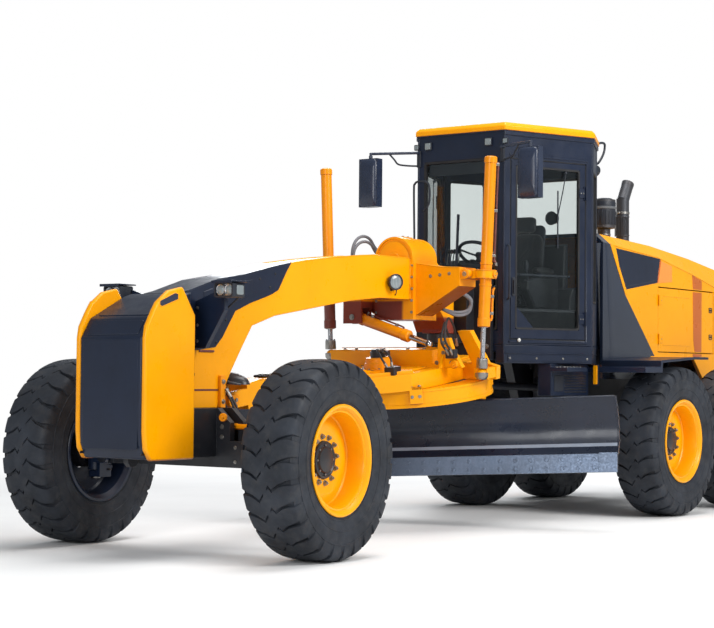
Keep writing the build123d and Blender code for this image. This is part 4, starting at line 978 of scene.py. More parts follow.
p = Piece("headlamps", "front_frame", "dark", "plastic", "lamp", "zinc", "hose", "steel")
for s in SIDES:
    p.prism([(s * 159, 1430), (s * 260, 1430), (s * 430, 1690), (s * 434, 1840), (s * 159, 1745)], 3765, 3786, FRONT, 0, c=2)
    # flange along the bracket's outer edge
    for (y0, z0), (y1, z1) in zip([(159, 1430), (260, 1430), (430, 1690)], [(260, 1430), (430, 1690), (434, 1765)]):
        p.prism([(s * y0, z0), (s * y1, z1), (s * (y1 + 1), z1 - 9), (s * (y0 + 1), z0 - 9)], 3752, 3790, FRONT, 0)
    for y, z in ((186, 1470), (186, 1580), (186, 1700)):
        p.bolt((3786, s * y, z), (1, 0, 0), 10, 9, mat=3)
    # lamp housing with a bezel
    y0, y1 = sorted((s * 432, s * 598))
    p.prism(rrect(y0 + 6, y1 - 6, 1766, 1864, 16), 3760, 3866, FRONT, 1, c=6)
    ring_of(p, rrect(y0, y1, 1762, 1868, 20), rrect(y0 + 13, y1 - 13, 1775, 1855, 14), 3860, 3902, FRONT, 1)
    p.prism(rrect(y0 + 10, y1 - 10, 1772, 1858, 14), 3860, 3872, FRONT, 5)
    for y in (s * 478, s * 553):
        c = frame_at((3.872, y * 0.001, 1.815), (0, 0, 1), (1, 0, 0))
        p.lathe([(0, 12), (6, 22), (20, 34), (20, 37), (0, 37)], c, 28, 5, True, cap=False)
        p.lathe([(14, 33), (20, 28), (24, 16), (25, 0.6)], c, 28, 2, True, cap=False)
    # side marker
    p.prism(rrect(3792, 3862, 1782, 1846, 10), -s * 596, -s * 604, SIDE, 2, c=2)
    # lid with a folded lip
    p.prism([(3750, s * 425), (3926, s * 425), (3930, s * 432), (3930, s * 608), (3924, s * 615), (3750, s * 615)], 1868, 1877, TOP, 0, c=1)
    p.box(3924, 3931, s * 430, s * 610, 1858, 1877, 0)
    p.tube([(3760, s * 520, 1800), (3722, s * 500, 1772), (3712, s * 380, 1690), (3720, s * 250, 1610), (3730, s * 168, 1590)], 7, ID, 8, 4, 6)
p.build(replaces="front_lamps", bevel=0.0015)

# =============================================================== push block
p = Piece("push_block_trim", "front_frame", "dark", "maroon", "bolt_dark", "yellow", "black", "slot")
SLOT = [(4320, 1698), (4321, 1725), (4172, 1784), (4142, 1779), (4141, 1745), (4300, 1692)]
for s in SIDES:
    p.prism(grown(SLOT, 7), -s * 318, -s * 322, SIDE, 3, c=1.5)
    p.prism(SLOT, -s * 319, -s * 323, SIDE, 5, c=1)
    # dark seal between the core and the plates
    p.box(4000, 4444, s * 274, s * 280.6, 700, 716, 4)
    for z in (760, 1000, 1240, 1480):
        p.bolt((3957, s * 300, z), (-1, 0, 0), 12, 10, mat=2)
    p.box(3938, 3957, s * 161, s * 258, 1020, 1720, 0, c=3)
    for z in (1080, 1230, 1380, 1530, 1680):
        p.bolt((3938, s * 215, z), (-1, 0, 0), 13, 12, mat=2)
# bare raised panel in front, and the folds above and below it
p.prism(rrect(-250, 250, 735, 1468, 26), 4446, 4452, FRONT, 0, c=3)
SLOPE = frame_at((4.405, 0, 1.549), (0, 1, 0), (138, 0, 90))
p.prism(rrect(-236, 236, -58, 58, 20), -3, 5, SLOPE, 0, c=3)
SLOPE2 = frame_at((4.200, 0, 1.6965), (0, 1, 0), (157, 0, 320))
p.prism(rrect(-236, 236, -150, 140, 24), -3, 5, SLOPE2, 0, c=3)
# recovery lug under the block
p.prism([(4180, 676), (4180, 640), (4210, 610), (4260, 610), (4290, 640), (4290, 676)], -22, 22, SIDE, 4, c=3)
p.build(bevel=0.0015)

# =============================================================== front axle
p = Piece("axle_details", "front_frame", "black", "zinc", "orange", "hose", "maroon", "grey")
# guard over the drawbar's ball
rows = []
for i in range(9):
    t = i / 8 * pi / 2
    h, w = sin(t), cos(t)
    rows.append([(3315 + 105 * w * cos(a), 60 + 200 * w * sin(a), 1170 + 92 * h) for a in [2 * pi * k / 28 for k in range(28)]])
p.grid(rows, 0, True, ID, wrap=True)
for x in (3385, 3425):
    for y in (-120, 250):
        p.rod((x, y, 1172), (3472, y * 0.8, 1190), 7, ID, 8, 0)
# lug and hydraulic fittings on the near side of the foot
for s in SIDES:
    p.prism(rrect(3470, 3526, 1006, 1236, 10), -s * 160, -s * 186, SIDE, 2, c=3)
    p.bolt((3498, s * 186, 1190), (0, s, 0), 13, 11, mat=1)
    p.bolt((3498, s * 186, 1050), (0, s, 0), 13, 11, mat=1)
    p.lathe([(0, 30), (14, 30), (18, 26), (18, 12), (26, 10), (26, 0.6)], frame_at((3.690, s * 0.352, 0.945), (0, 0, 1), (0.8, s * 0.2, 0)), 20, 2)
    # carrier plates: bolts, stiffener and the axle's gussets
    for y, z in ((60, 960), (230, 960), (330, 880), (330, 810), (60, 810)):
        p.bolt((3680, s * y, z), (1, 0, 0), 13, 12, mat=1)
        p.bolt((3480, s * y, z), (-1, 0, 0), 13, 12, mat=1)
    p.prism([(s * 400, 780), (s * 690, 780), (s * 690, 800), (s * 470, 905), (s * 400, 905)], 3570, 3590, FRONT, 0, c=2)
    for y in (450, 560, 660):
        p.bolt((3680, s * y, 740), (1, 0, 0), 10, 9, mat=1)
        p.bolt((3680, s * y, 640), (1, 0, 0), 10, 9, mat=1)
    seam(p, [(3678, s * 688, 602), (3678, s * 688, 778)], 4)
    # hoses from the frame down to the steering and lean cylinders
    p.hose([(3440, s * 128, 1150), (3405, s * 190, 1040), (3390, s * 215, 880), (3420, s * 180, 760), (3440, s * 150, 706)], 10, ID, 3, 1)
    p.hose([(3470, s * 205, 1120), (3442, s * 262, 1010), (3436, s * 290, 860), (3440, s * 240, 720)], 9, ID, 3, 1)
    # steering cylinder gland and port
    p.lathe([(0, 50), (2, 56), (26, 56), (30, 48), (34, 30), (34, 23)], frame_at((3.440, s * 0.236, 0.655), (1, 0, 0), (0, s, 0)), 28, 0, True, cap=False)
    p.rod((3440, s * 160, 690), (3440, s * 160, 722), 14, ID, 12, 1)
# bolted front cover of the carrier
for y in (-200, 0, 200):
    for z in (720, 860):
        p.bolt((3700 + 0, y, 676), (0, 0, -1), 9, 8, mat=1)
p.box(3720, 3940, -250, 250, 668, 677, 0, c=2)
p.build(bevel=0.001)

for name, s in (("left", 1), ("right", -1)):
    p = Piece("yoke_details_" + name, "lean_yoke_" + name, "dark", "zinc", "black")
    for z, d in ((485, -1), (865, 1)):
        p.lathe([(-2, 36), (9, 36), (12, 31), (12, 0.6)], frame_at((3.580, s * 0.960, z * 0.001), (1, 0, 0), (0, 0, d)), 24, 1)
        for k in range(4):
            a = pi / 4 + k * pi / 2
            p.bolt((3580 + 24 * cos(a), s * 960 + 24 * sin(a), z + d * 10), (0, 0, d), 5, 6, mat=2, washer=False)
    for d in (1, -1):
        p.lathe([(-2, 42), (8, 42), (10, 36), (10, 0.6)], frame_at(((3580 + d * 105) * 0.001, s * 0.800, 0.640), (0, 0, 1), (d, 0, 0)), 28, 2)
        p.bolt((3580 + d * 114, s * 800, 640), (d, 0, 0), 13, 10, mat=1, washer=False)
        p.bolt((3580 + d * 60, s * 800, 880), (d, 0, 0), 14, 12, mat=1)
    p.build()
    k4 = frame_at((3.580, s * 0.960, 0), (cos(radians(4.5)), sin(radians(4.5)), 0), (0, 0, 1))
    p = Piece("hub_details_" + name, "knuckle_" + name, "dark", "zinc", "black", "hose")
    p.lathe([(46, 92), (58, 92), (64, 84), (66, 62)], k4 @ frame_at((0, 0, 0.675), (1, 0, 0), (0, s, 0)), 36, 0, True, cap=False)
    for k in range(8):
        a = 2 * pi * k / 8 + 0.2
        p.bolt((78 * cos(a), s * 56, 675 + 78 * sin(a)), (0, -s, 0), 7, 8, k4, 1, washer=False)
    # dust cover of the tie rod's ball joint
    p.lathe([(0, 24), (4, 30), (14, 30), (20, 22), (26, 20), (26, 0.6)], k4 @ frame_at((-0.140, 0, 0.563), (1, 0, 0), (0, 0, -1)) @ Matrix.Translation((0, 0, 0.024)), 22, 3)
    p.build()

# =============================================================== lift cylinders
for name, s, ball in (("left", 1, (970, 748, 1262)), ("right", -1, (970, -748, 1418))):
    top = Vector((970, s * 823, 3000))
    low = Vector((970, s * 748, 1262))
    down = (low - top).normalized()
    fr = frame_at(top * 0.001, (1, 0, 0), -down)
    L = (3000 - 1640) / -down.z
    ring_d = (3000 - 2060) / -down.z
    p = Piece("lift_cylinder_" + name, "lift_barrel_" + name, "orange", "zinc", "chrome", "hose", "maroon", "hose_grey")
    p.lathe([(-52, 46), (-50, 51), (-6, 51), (2, 44), (6, 30), (7, 0.6)], fr, 36, 0, True, cap=False)
    # the far (right) cylinder's lower end and a sleeve above it take the dark brown: painted shade
    p.lathe([(-L - 2, 21), (-L - 2, 42), (-L + 4, 51), (-L + 66, 51), (-L + 72, 46)], fr, 36, 0 if s > 0 else 4, True, cap=False)
    if s < 0:
        p.lathe([(-L + 60, 46), (-L + 62, 47.2), (-L + 400, 47.2), (-L + 404, 45.5)], fr, 36, 4, True, cap=False)
    p.lathe([(-L - 6, 24), (-L - 6, 33), (-L - 1, 34)], fr, 28, 1, True, cap=False)
    for d0, d1 in ((-ring_d - 96, -ring_d - 76), (-ring_d + 76, -ring_d + 96)):
        p.lathe([(d0, 46), (d0 + 2, 50), (d1 - 2, 50), (d1, 46)], fr, 32, 0, True, cap=False)
    # pressure pipe on its blocks
    a = radians(128 if s > 0 else -150)
    ux, uy = cos(a) * 62, sin(a) * 62
    z1, z0 = -40, -ring_d + 120
    p.tube([(ux * 0.82, uy * 0.82, z1), (ux, uy, z1 - 24), (ux, uy, z1 - 60), (ux, uy, z0 + 40), (ux, uy, z0), (ux * 1.25, uy * 1.25, z0 - 30)], 8, fr, 8, 4 if s > 0 else 1, 4)
    for z in (z1 - 20, (z1 + z0) / 2, z0 + 30):
        q = frame_at((ux * 0.00080, uy * 0.00080, z * 0.001), (0, 0, 1), (ux, uy, 0))
        p.box(-12, 12, -14, 14, -8, 22, 1, fr @ q)
    p.rod((ux * 1.25, uy * 1.25, z0 - 24), (ux * 1.3, uy * 1.3, z0 - 50), 11, fr, 6, 1)
    # second pipe below the trunnion
    zb, za = -L + 50, -ring_d - 104
    p.tube([(ux * 0.8, uy * 0.8, zb), (ux, uy, zb + 30), (ux, uy, za - 40), (ux * 1.2, uy * 1.2, za)], 9, fr, 8, 0, 4)
    for z in (zb + 60, za - 70):
        q = frame_at((ux * 0.00080, uy * 0.00080, z * 0.001), (0, 0, 1), (ux, uy, 0))
        p.box(-12, 12, -14, 14, -8, 24, 1, fr @ q)
    p.build()
    foot = ball[2] + 54
    p = Piece("lift_rod_end_" + name, "lift_rod_" + name, "zinc", "black", "chrome")
    fd = (3000 - foot) / -down.z
    p.lathe([(-fd + 72, 20.5), (-fd + 70, 36), (-fd + 62, 44), (-fd - 2, 46), (-fd - 8, 44), (-fd - 8, 30)], fr, 32, 0, True, cap=False)
    for k in range(4):
        a = pi / 4 + k * pi / 2
        p.bolt((33 * cos(a), 33 * sin(a), -fd + 68), (0, 0, 1), 6, 9, fr, 1, washer=False)
    p.build()
    # trunnion: pin caps
    p = Piece("trunnion_caps_" + name, "lift_trunnion_" + name, "orange", "zinc", "maroon")
    rg = frame_at((top + down * ring_d) * 0.001, (1, 0, 0), -down)
    p.lathe([(-36, 82), (-34, 87), (-26, 87), (-24, 84)], rg, 40, 0, True, cap=False)
    p.lathe([(24, 84), (26, 87), (34, 87), (36, 82)], rg, 40, 0, True, cap=False)
    for d in (1, -1):
        q = rg @ frame_at((0, d * 0.083, 0), (0, 0, 1), (0, d, 0))
        p.lathe([(-3, 30), (9, 30), (12, 25), (12, 0.6)], q, 24, 0)
        for k in range(3):
            a = k * 2 * pi / 3
            p.bolt((19 * cos(a), 19 * sin(a), 11), (0, 0, 1), 5, 6, q, 1, washer=False)
    p.build()

# =============================================================== centre-shift cylinder
SHIFT_TOP = Vector((1180, -330, 1722))
SHIFT_DIR = (Vector((1180, 400, 1495)) - SHIFT_TOP).normalized()
SH = frame_at(SHIFT_TOP * 0.001, (1, 0, 0), SHIFT_DIR)
p = Piece("shift_cylinder", "shift_barrel", "orange", "zinc", "maroon", "hose")
p.lathe([(36, 30), (36, 44), (44, 49), (74, 49), (80, 45)], SH, 32, 0, True, cap=False)
p.lathe([(478, 45), (484, 50), (540, 50), (548, 44), (548, 25)], SH, 32, 0, True, cap=False)
p.tube([(0, -44, 90), (0, -58, 110), (0, -58, 440), (0, -46, 470)], 7, SH, 8, 2, 4)
for z in (150, 400):
    p.box(-14, 14, -66, -42, z - 10, z + 10, 1, SH)
p.rod((0, -44, 96), (0, -76, 96), 9, SH, 6, 1)
p.build()
p = Piece("shift_rod_boot", "shift_rod", "bolt_dark", "black")
p.lathe([(731, 24.4), (733, 30), (740, 32), (746, 30), (752, 30)], SH, 24, 0, True, cap=False)
p.build()

# =============================================================== drawbar
p = Piece("drawbar_details", "drawbar", "yellow", "zinc", "black", "hose", "maroon", "orange", "cast")
D = DRAW
# clevis pins at the front
for s in SIDES:
    p.lathe([(-3, 46), (9, 46), (12, 40), (12, 0.6)], D @ frame_at((0, s * 0.108, 0), (0, 0, 1), (0, s, 0)), 28, 5)
    p.bolt((0, s * 120, 0), (0, s, 0), 15, 12, D, 1, washer=False)
    # plates welded along the tongue
    seam(p, [(-300, s * 109, 104), (-1480, s * 109, 18)], 4, 0, D)
    seam(p, [(-300, s * 109, -104), (-1480, s * 109, -126)], 4, 0, D)
    # ribs on the frame's upper side
    p.prism([(-1560, s * 150), (-1580, s * 150), (-1840, s * 415), (-1820, s * 415)], -60, -30, D, 0, c=2)
    # shoes that carry the circle
    for deg in (38, 142):
        a = radians(deg) * s
        q = D @ Matrix.Translation((-2.380, 0, 0)) @ Matrix.Rotation(a, 4, "Z")
        p.box(560, 716, -52, 52, -188, -160, 0, q, c=4)
        p.box(692, 716, -52, 52, -300, -160, 0, q, c=4)
        for y in (-30, 30):
            p.bolt((704, y, -160), (0, 0, 1), 12, 12, q, 1)
            p.bolt((716, y, -240), (1, 0, 0), 10, 9, q, 1)
    # bolts of the cover plate over the circle
for k in range(10):
    a = 2 * pi * k / 10 + 0.2
    x, y = -2380 + 330 * cos(a), 400 * sin(a)
    if -2425 < x < -2245:
        continue
    p.bolt((x, y, -57), (0, 0, 1), 12, 11, D, 1)
p.prism(rrect(-2900, -2480, -330, 330, 40), -57, -46, D, 0, c=3)
p.prism(rrect(-2180, -1830, -330, 330, 40), -57, -46, D, 0, c=3)
# circle drive: gearbox and motor in front of the cross beam
G = D @ Matrix.Translation((-1.960, 0, -0.046))
p.lathe([(0, 150), (16, 150), (18, 120), (60, 116), (66, 104), (100, 100), (104, 90), (104, 0.6)], G, 40, 5)
for k in range(10):
    a = 2 * pi * k / 10
    p.bolt((135 * cos(a), 135 * sin(a), 16), (0, 0, 1), 9, 9, G, 1, washer=False)
p.lathe([(100, 62), (150, 62), (154, 52), (168, 50), (168, 0.6)], G, 32, 2)
p.box(-46, 46, 40, 92, 112, 152, 2, G)
# valve box at the near front corner, with two hoses to the motor
p.box(-1800, -1700, 232, 330, -57, 8, 2, D, c=5)
p.bolt((-1750, 281, 8), (0, 0, 1), 12, 9, D, 1)
p.hose([(-1790, 250, 0), (-1850, 200, 60), (-1900, 120, 110), (-1930, 75, 100)], 9, D, 3, 1, 6)
p.hose([(-1720, 250, 6), (-1740, 180, 90), (-1830, 90, 130), (-1905, 60, 118)], 9, D, 3, 1, 6)
# hoses along the tongue
for y in (-36, 0, 36):
    p.tube([(-420, y, 112), (-900, y, 76), (-1400, y, 40), (-1640, y, -14), (-1800, y * 1.5, -40)], 10, D, 8, 3, 5)
for x, z in ((-500, 96), (-1000, 59), (-1400, 29)):
    p.box(x - 12, x + 12, -54, 54, z - 2, z + 24, 1, D)
# tower and lift leg: bolts, gussets and seams
for y, z in ((400, -20), (540, -20), (470, 60), (480, 140)):
    p.bolt((-2204, y, z), (1, 0, 0), 13, 12, D, 1)
seam(p, [(-2202, 292, -56), (-2202, 636, -56)], 4, 0, D)
p.prism([(-2204, -56), (-2130, -56), (-2204, 60)], -480, -460, D @ Matrix.Rotation(radians(90), 4, "X"), 0)
# black control block on the tower, an orange boss beneath it
p.prism(rrect(520, 610, 20, 92, 8), -2204, -2150, D @ frame_at((0, 0, 0), (0, 1, 0), (1, 0, 0)), 2, c=4)
p.lathe([(0, 34), (24, 34), (30, 28), (30, 14), (38, 12), (38, 0.6)], D @ frame_at((-2.204, 0.575, -0.030), (0, 0, 1), (1, 0, 0)), 26, 5)
p.hose([(-2150, 545, 70), (-2110, 520, 160), (-2180, 500, 260), (-2260, 470, 300), (-2330, 430, 250), (-2400, 420, 120)], 9, D, 3, 1, 7)
p.hose([(-2150, 585, 70), (-2090, 570, 180), (-2170, 540, 300), (-2280, 500, 330), (-2390, 470, 240), (-2440, 450, 110)], 9, D, 3, 1, 7)
# caps of the lift balls
for x, y, z in ((970, 748, 1262), (970, -748, 1418)):
    q = frame_at((x * 0.001, y * 0.001, z * 0.001), (1, 0, 0), (0, 0, 1))
    p.lathe([(-46, 0.6), (-46, 24), (-38, 40), (-20, 52), (6, 54), (12, 50)], q, 30, 1, True, cap=False)
seam(p, [(-2418, -688, 76), (-2418, 328, 76)], 4, 0, D)
seam(p, [(-2252, -688, 76), (-2252, 288, 76)], 4, 0, D)
for y in (-600, -480, -200, 40, 200):
    p.bolt((-2335, y, 75), (0, 0, 1), 12, 11, D, 1)
p.build(bevel=0.001)

# =============================================================== circle
p = Piece("circle_teeth", "circle", "yellow", "edge", "zinc", "yellow")
K = KNIFE
gear_in, gear_out = [], []
for k in range(64 * 4):
    a = 2 * pi * k / 256
    r = (476, 476, 502, 502)[k % 4]
    gear_in.append((r * cos(a), r * sin(a)))
    gear_out.append((512 * cos(a), 512 * sin(a)))
ring_of(p, gear_out, gear_in, -325, -215, K, 1)
p.lathe([(-331, 679), (-331, 684), (-305, 684), (-303, 679)], K, 96, 0, True, cap=False)
p.lathe([(-214, 679), (-212, 683), (-195, 683), (-194, 679)], K, 96, 0, True, cap=False)
for s in SIDES:
    for dy in (-31, 31):
        y = s * 500 + dy
        p.bolt((-400, y, -440), (0, 1 if dy > 0 else -1, 0), 13, 10, K, 2)
        p.bolt((-400, y, -370), (0, 1 if dy > 0 else -1, 0), 13, 10, K, 2)
        p.lathe([(-1, 46), (7, 46), (7, 31)], K @ frame_at((-0.265, y * 0.001, -0.640), (0, 0, 1), (0, 1 if dy > 0 else -1, 0)), 28, 0, True, cap=False)
p.build()

# =============================================================== blade
SIDE_K = frame_at((0, 0, 0), (1, 0, 0), (0, -1, 0))
BL = KNIFE @ Matrix.Translation((0, 0.064, 0))
LOW = -991
FACE_LINE = [(-32, LOW + 148), (-60, LOW + 183), (-86, LOW + 226), (-106, LOW + 272), (-120, LOW + 320), (-127, LOW + 366), (-128, LOW + 412), (-123, LOW + 458), (-110, LOW + 504), (-92, LOW + 550), (-66, LOW + 600)]
p = Piece("blade_face", "blade", "blade", "edge", "bolt_dark", "black", "edge", "blade_worn")
rows = []
for x, c in FACE_LINE:
    rows.append([(x + 1.2, -1617, c), (x + 1.2, -800, c), (x + 1.2, 0, c), (x + 1.2, 800, c), (x + 1.2, 1617, c)])
p.grid(rows[:3], 5, True, BL)
p.grid(rows[2:], 0, True, BL)
# top edge roll
p.rod((-78, -1618, LOW + 603), (-78, 1618, LOW + 603), 11, BL, 12, 0)
# bolts of the cutting edge
for k in range(25):
    y = -1560 + 130 * k
    for t in (38, 108):
        x, c = 18 - 0.321 * t, LOW + 6 + 0.947 * t
        q = BL @ frame_at((x * 0.001, y * 0.001, c * 0.001), (0, 1, 0), (0.947, 0, 0.321))
        p.lathe([(0, 17), (2.5, 16), (3, 9), (3, 0.6)], q, 14, 4)
# end bits
for s in SIDES:
    p.prism([(-4, LOW + 1), (22, LOW + 5), (-29, LOW + 158), (-56, LOW + 140)], -s * 1621, -s * 1470, BL @ SIDE_K, 1, c=2)
    p.prism([(-52, LOW + 135), (-28, LOW + 152), (-88, LOW + 232), (-120, LOW + 320), (-126, LOW + 410), (-108, LOW + 500), (-60, LOW + 606), (-98, LOW + 606),
             (-142, LOW + 505), (-160, LOW + 410), (-154, LOW + 315), (-118, LOW + 215)], -s * 1617, -s * 1629, BL @ SIDE_K, 0, c=2)
    for z in (LOW + 240, LOW + 330, LOW + 420, LOW + 510):
        p.bolt((-128 if LOW + 300 < z < LOW + 450 else -112, s * 1628, z), (0, s, 0), 11, 8, BL, 3)
# rod eye of the side-shift cylinder
p.bolt((-291, -1150 - 64, -795), (-1, 0, 0), 16, 14, BL, 2)
p.build()

p = Piece("carrier_details", "blade_carrier", "black", "zinc", "orange", "hose", "steel")
for s in SIDES:
    for dy in (-62, 62):
        y = s * 500 + dy
        o = 20 if dy > 0 else -20
        p.lathe([(-1, 44), (8, 44), (10, 38), (10, 0.6)], K @ frame_at((-0.265, (y + o) * 0.001, -0.640), (0, 0, 1), (0, 1 if dy > 0 else -1, 0)), 26, 1)
        for c in (-830, -770):
            x = -240
            p.bolt((x, y + o, c), (0, 1 if dy > 0 else -1, 0), 11, 9, K, 1)
    p.lathe([(0, 44), (3, 50), (30, 50), (34, 42), (34, 22)], K @ frame_at((-0.262, s * 0.600, -0.800), (0, 0, 1), (0, s, 0)) @ Matrix.Translation((0, 0, -0.034)), 28, 0, True, cap=False)
p.hose([(-262, 410, -752), (-275, 400, -700), (-330, 350, -610), (-380, 250, -520), (-360, 160, -430), (-330, 100, -400)], 10, K, 3, 1, 7)
p.hose([(-262, -410, -752), (-275, -400, -700), (-330, -350, -610), (-380, -250, -520), (-360, -160, -430), (-330, -100, -400)], 10, K, 3, 1, 7)
p.build()

# =============================================================== hood
def hood_side(x):
    """Height of the hood's shoulder and top at x."""
    secs = [(-1340, 2475, 2564), (-2450, 2402, 2515), (-3300, 2258, 2438), (-4300, 2050, 2313)]
    for (xa, ba, ta), (xb, bb, tb) in zip(secs, secs[1:]):
        if xb <= x <= xa:
            t = (xa - x) / (xa - xb)
            return ba + (bb - ba) * t, ta + (tb - ta) * t
    return secs[-1][1:]


p = Piece("hood_trim", "rear_frame", "yellow", "dark", "recess_shade", "black", "zinc", "orange", "coral", "plastic")
VENT = [(-1590, 2436), (-2491, 2387), (-2429, 2153), (-1751, 2057)]
for s in SIDES:
    p.prism(VENT, -s * 598, -s * 602, SIDE, 1, c=1)
    p.prism(grown(VENT, -26), -s * 600, -s * 604, SIDE, 1, c=1.5)
    # bright edge strip between the vent and the fairing
    p.prism([(-1473, 2466), (-1530, 2455), (-1822, 2020), (-1770, 2020)], -s * 598, -s * 604, SIDE, 0, c=1.5)
    p.prism([(-2513, 2369), (-2751, 2330), (-2752, 2178), (-2449, 2153)], -s * 598, -s * 601.5, SIDE, 6, c=0.8)
    # dark red strip along the vent's back edge: painted shade
    p.prism([(-2495, 2384), (-2513, 2369), (-2449, 2153), (-2431, 2153)], -s * 598, -s * 604, SIDE, 2, c=1)
    # tall recess: the part above the side door and the part below it, in dark red as painted shade
    p.prism([(-3198, 2268), (-3420, 2220), (-3424, 2128), (-3218, 2128)], -s * 598, -s * 601.5, SIDE, 2, c=0.8)
    p.prism([(-3215, 1486), (-3216, 1462), (-3300, 1452), (-3420, 1462), (-3422, 1486)], -s * 598, -s * 601.5, SIDE, 2, c=0.8)
    # rolled edge of the wheel arch
    seam(p, [(-2300, s * 599, 1445), (-3225, s * 599, 1451), (-3456, s * 599, 1231)], 7, 0)
    # louvres at the back of the side
    for k in range(9):
        x = -3800 - k * 46
        zt = hood_side(x)[0] - 110
        p.prism([(x - 13, 1560), (x + 13, 1560), (x + 13, zt), (x - 13, zt)], -s * 598, -s * 605, SIDE, 3, c=2)
    for x in (-3760, -4250):
        p.bolt((x, s * 600, 1380), (0, s, 0), 9, 7, mat=4)
    # joint line of the top panel
    for x0 in (-1560, -2450, -3300):
        x1 = {-1560: -2445, -2450: -3295, -3300: -4290}[x0]
        z0, z1 = hood_side(x0)[0], hood_side(x1)[0]
        seam(p, [(x0, s * 600.5, z0 - 5), (x1, s * 600.5, z1 - 5)], 3.2, 0)
# top: louvred plate, hinges, rain cap of the radiator fan
for x0, x1, n in ((-2760, -3260, 11), (-3400, -4100, 15)):
    for k in range(n):
        x = x0 + (x1 - x0) * (k + 0.5) / n
        z = hood_side(x)[1]
        p.prism([(x - 14, z - 3), (x + 12, z - 2), (x + 12, z + 10), (x - 4, z + 9)], -340, 340, SIDE, 3)
for x in (-1700, -2300):
    z = hood_side(x)[1]
    for y in (-420, 420):
        p.box(x - 60, x + 60, y - 20, y + 20, z - 6, z + 8, 7)
# back: grille, rear lamps' panel, handle
GR = frame_at((-4.300, 0, 0), (0, 1, 0), (-1, 0, 0))
RG = Matrix.Identity(4)
BACKF = frame_at((-4.300, 0, 0), (0, -1, 0), (-1, 0, 0))     # x is -Y, y is Z, z is -X
ring_of(p, rrect(-470, 470, 1330, 2130, 40), rrect(-430, 430, 1370, 2090, 26), -2, 14, BACKF, 1)
for k in range(18):
    z = 1385 + k * 40
    p.prism([(-2, z), (9, z + 14), (9, z + 20), (-2, z + 8)], -428, 428, frame_at((-4.300, 0, 0), (-1, 0, 0), (0, 1, 0)), 3)
p.box(-4312, -4300, -8, 8, 1372, 2088, 1)
p.rod((-4316, -300, 2180), (-4316, 300, 2180), 9, ID, 10, 3)
for y in (-300, 300):
    p.rod((-4298, y, 2180), (-4318, y, 2180), 9, ID, 10, 3)
p.build(bevel=0.001)

for name, s in (("left", 1), ("right", -1)):
    p = Piece("hood_door_trim_" + name, "hood_door_" + name, "yellow", "recess_shade", "plastic", "zinc")
    # recess of the door in dark red: painted shade
    p.prism([(-3218, 2100), (-3424, 2100), (-3420, 1506), (-3262, 1506), (-3232, 1620)], -s * 596, -s * 599.5, SIDE, 1, c=0.8)
    p.prism(grown([(-3218, 2100), (-3424, 2100), (-3420, 1506), (-3262, 1506), (-3232, 1620)], -10), -s * 596, -s * 600.5, SIDE, 1, c=0.8)
    for z in (1660, 1930):
        ring_of(p, rrect(-3660, -3590, z - 26, z + 26, 8), rrect(-3652, -3598, z - 18, z + 18, 5), -s * 598, -s * 603, SIDE, 2)
        p.prism(rrect(-3648, -3602, z - 9, z + 9, 5), -s * 597, -s * 602, SIDE, 2, c=1)
    for z in (1620, 1990):
        for x in (-2490, -2530):
            p.bolt((x, s * 598, z), (0, s, 0), 7, 5, mat=3)
        p.box(-2550, -2470, s * 597, s * 601, z - 40, z + 40, 0, c=2)
    # pressed stiffening bead
    p.prism(rrect(-3150, -2560, 1560, 1572, 5), -s * 597, -s * 600, SIDE, 0, c=1)
    p.prism(rrect(-3150, -2560, 2030, 2042, 5), -s * 597, -s * 600, SIDE, 0, c=1)
    p.build()

# rounded cheeks behind the cab
p = Piece("fairing_cheeks", "rear_frame", "gloss", "black", "zinc")
for s in SIDES:
    rows = []
    for i in range(25):
        z = 1500 + (2468 - 1500) * i / 24
        xs = -1400 + 96 * (z - 1500) / 968
        row = [(xs - 190, s * 601.5, z)]
        for k in range(9):
            a = radians(90 - 90 * k / 8)
            row.append((xs - 104 + 104 * cos(a), s * (500 + 104 * sin(a)), z))
        row.append((xs, s * 470, z))
        rows.append(row)
    p.grid(rows, 0, True)
    # lower skirt in front of the wheel
    rows = []
    for i in range(12):
        z = 1240 + (1500 - 1240) * i / 11
        xs = -1400 - 36 * (1500 - z) / 260
        row = [(xs - 150, s * 601.5, z)]
        for k in range(7):
            a = radians(90 - 90 * k / 6)
            row.append((xs - 60 + 60 * cos(a), s * (541.5 + 60 * sin(a)), z))
        rows.append(row)
    p.grid(rows, 0, True)
    for x, z in ((-1560, 1300), (-1900, 1290), (-2150, 1300)):
        p.bolt((x, s * 600, z), (0, s, 0), 9, 7, mat=2)
p.build()

# =============================================================== stack, pre-cleaner
p = Piece("stack_details", "rear_frame", "stack", "zinc", "plastic", "trim_light")
E = frame_at((-2.430, 0.230, 0), (1, 0, 0), (0, 0, 1))
for z in (2560, 2840):
    p.lathe([(z - 12, 62), (z - 10, 67), (z + 10, 67), (z + 12, 62)], E, 32, 1, True, cap=False)
    p.box(60, 84, -8, 8, z - 9, z + 9, 1, E)
p.lathe([(2500, 63), (2503, 96), (2512, 96), (2516, 64)], E, 36, 0, True, cap=False)
# mouth of the pipe
tip = frame_at((-2.530, 0.230, 3.130), (0, 1, 0), (-100, 0, 170))
p.lathe([(-30, 61.5), (-4, 62), (10, 62), (10, 56), (-60, 54)], tip, 32, 0, True, cap=False)
p.lathe([(-60, 54), (-60, 0.6)], tip, 32, 2, False, cap=False)
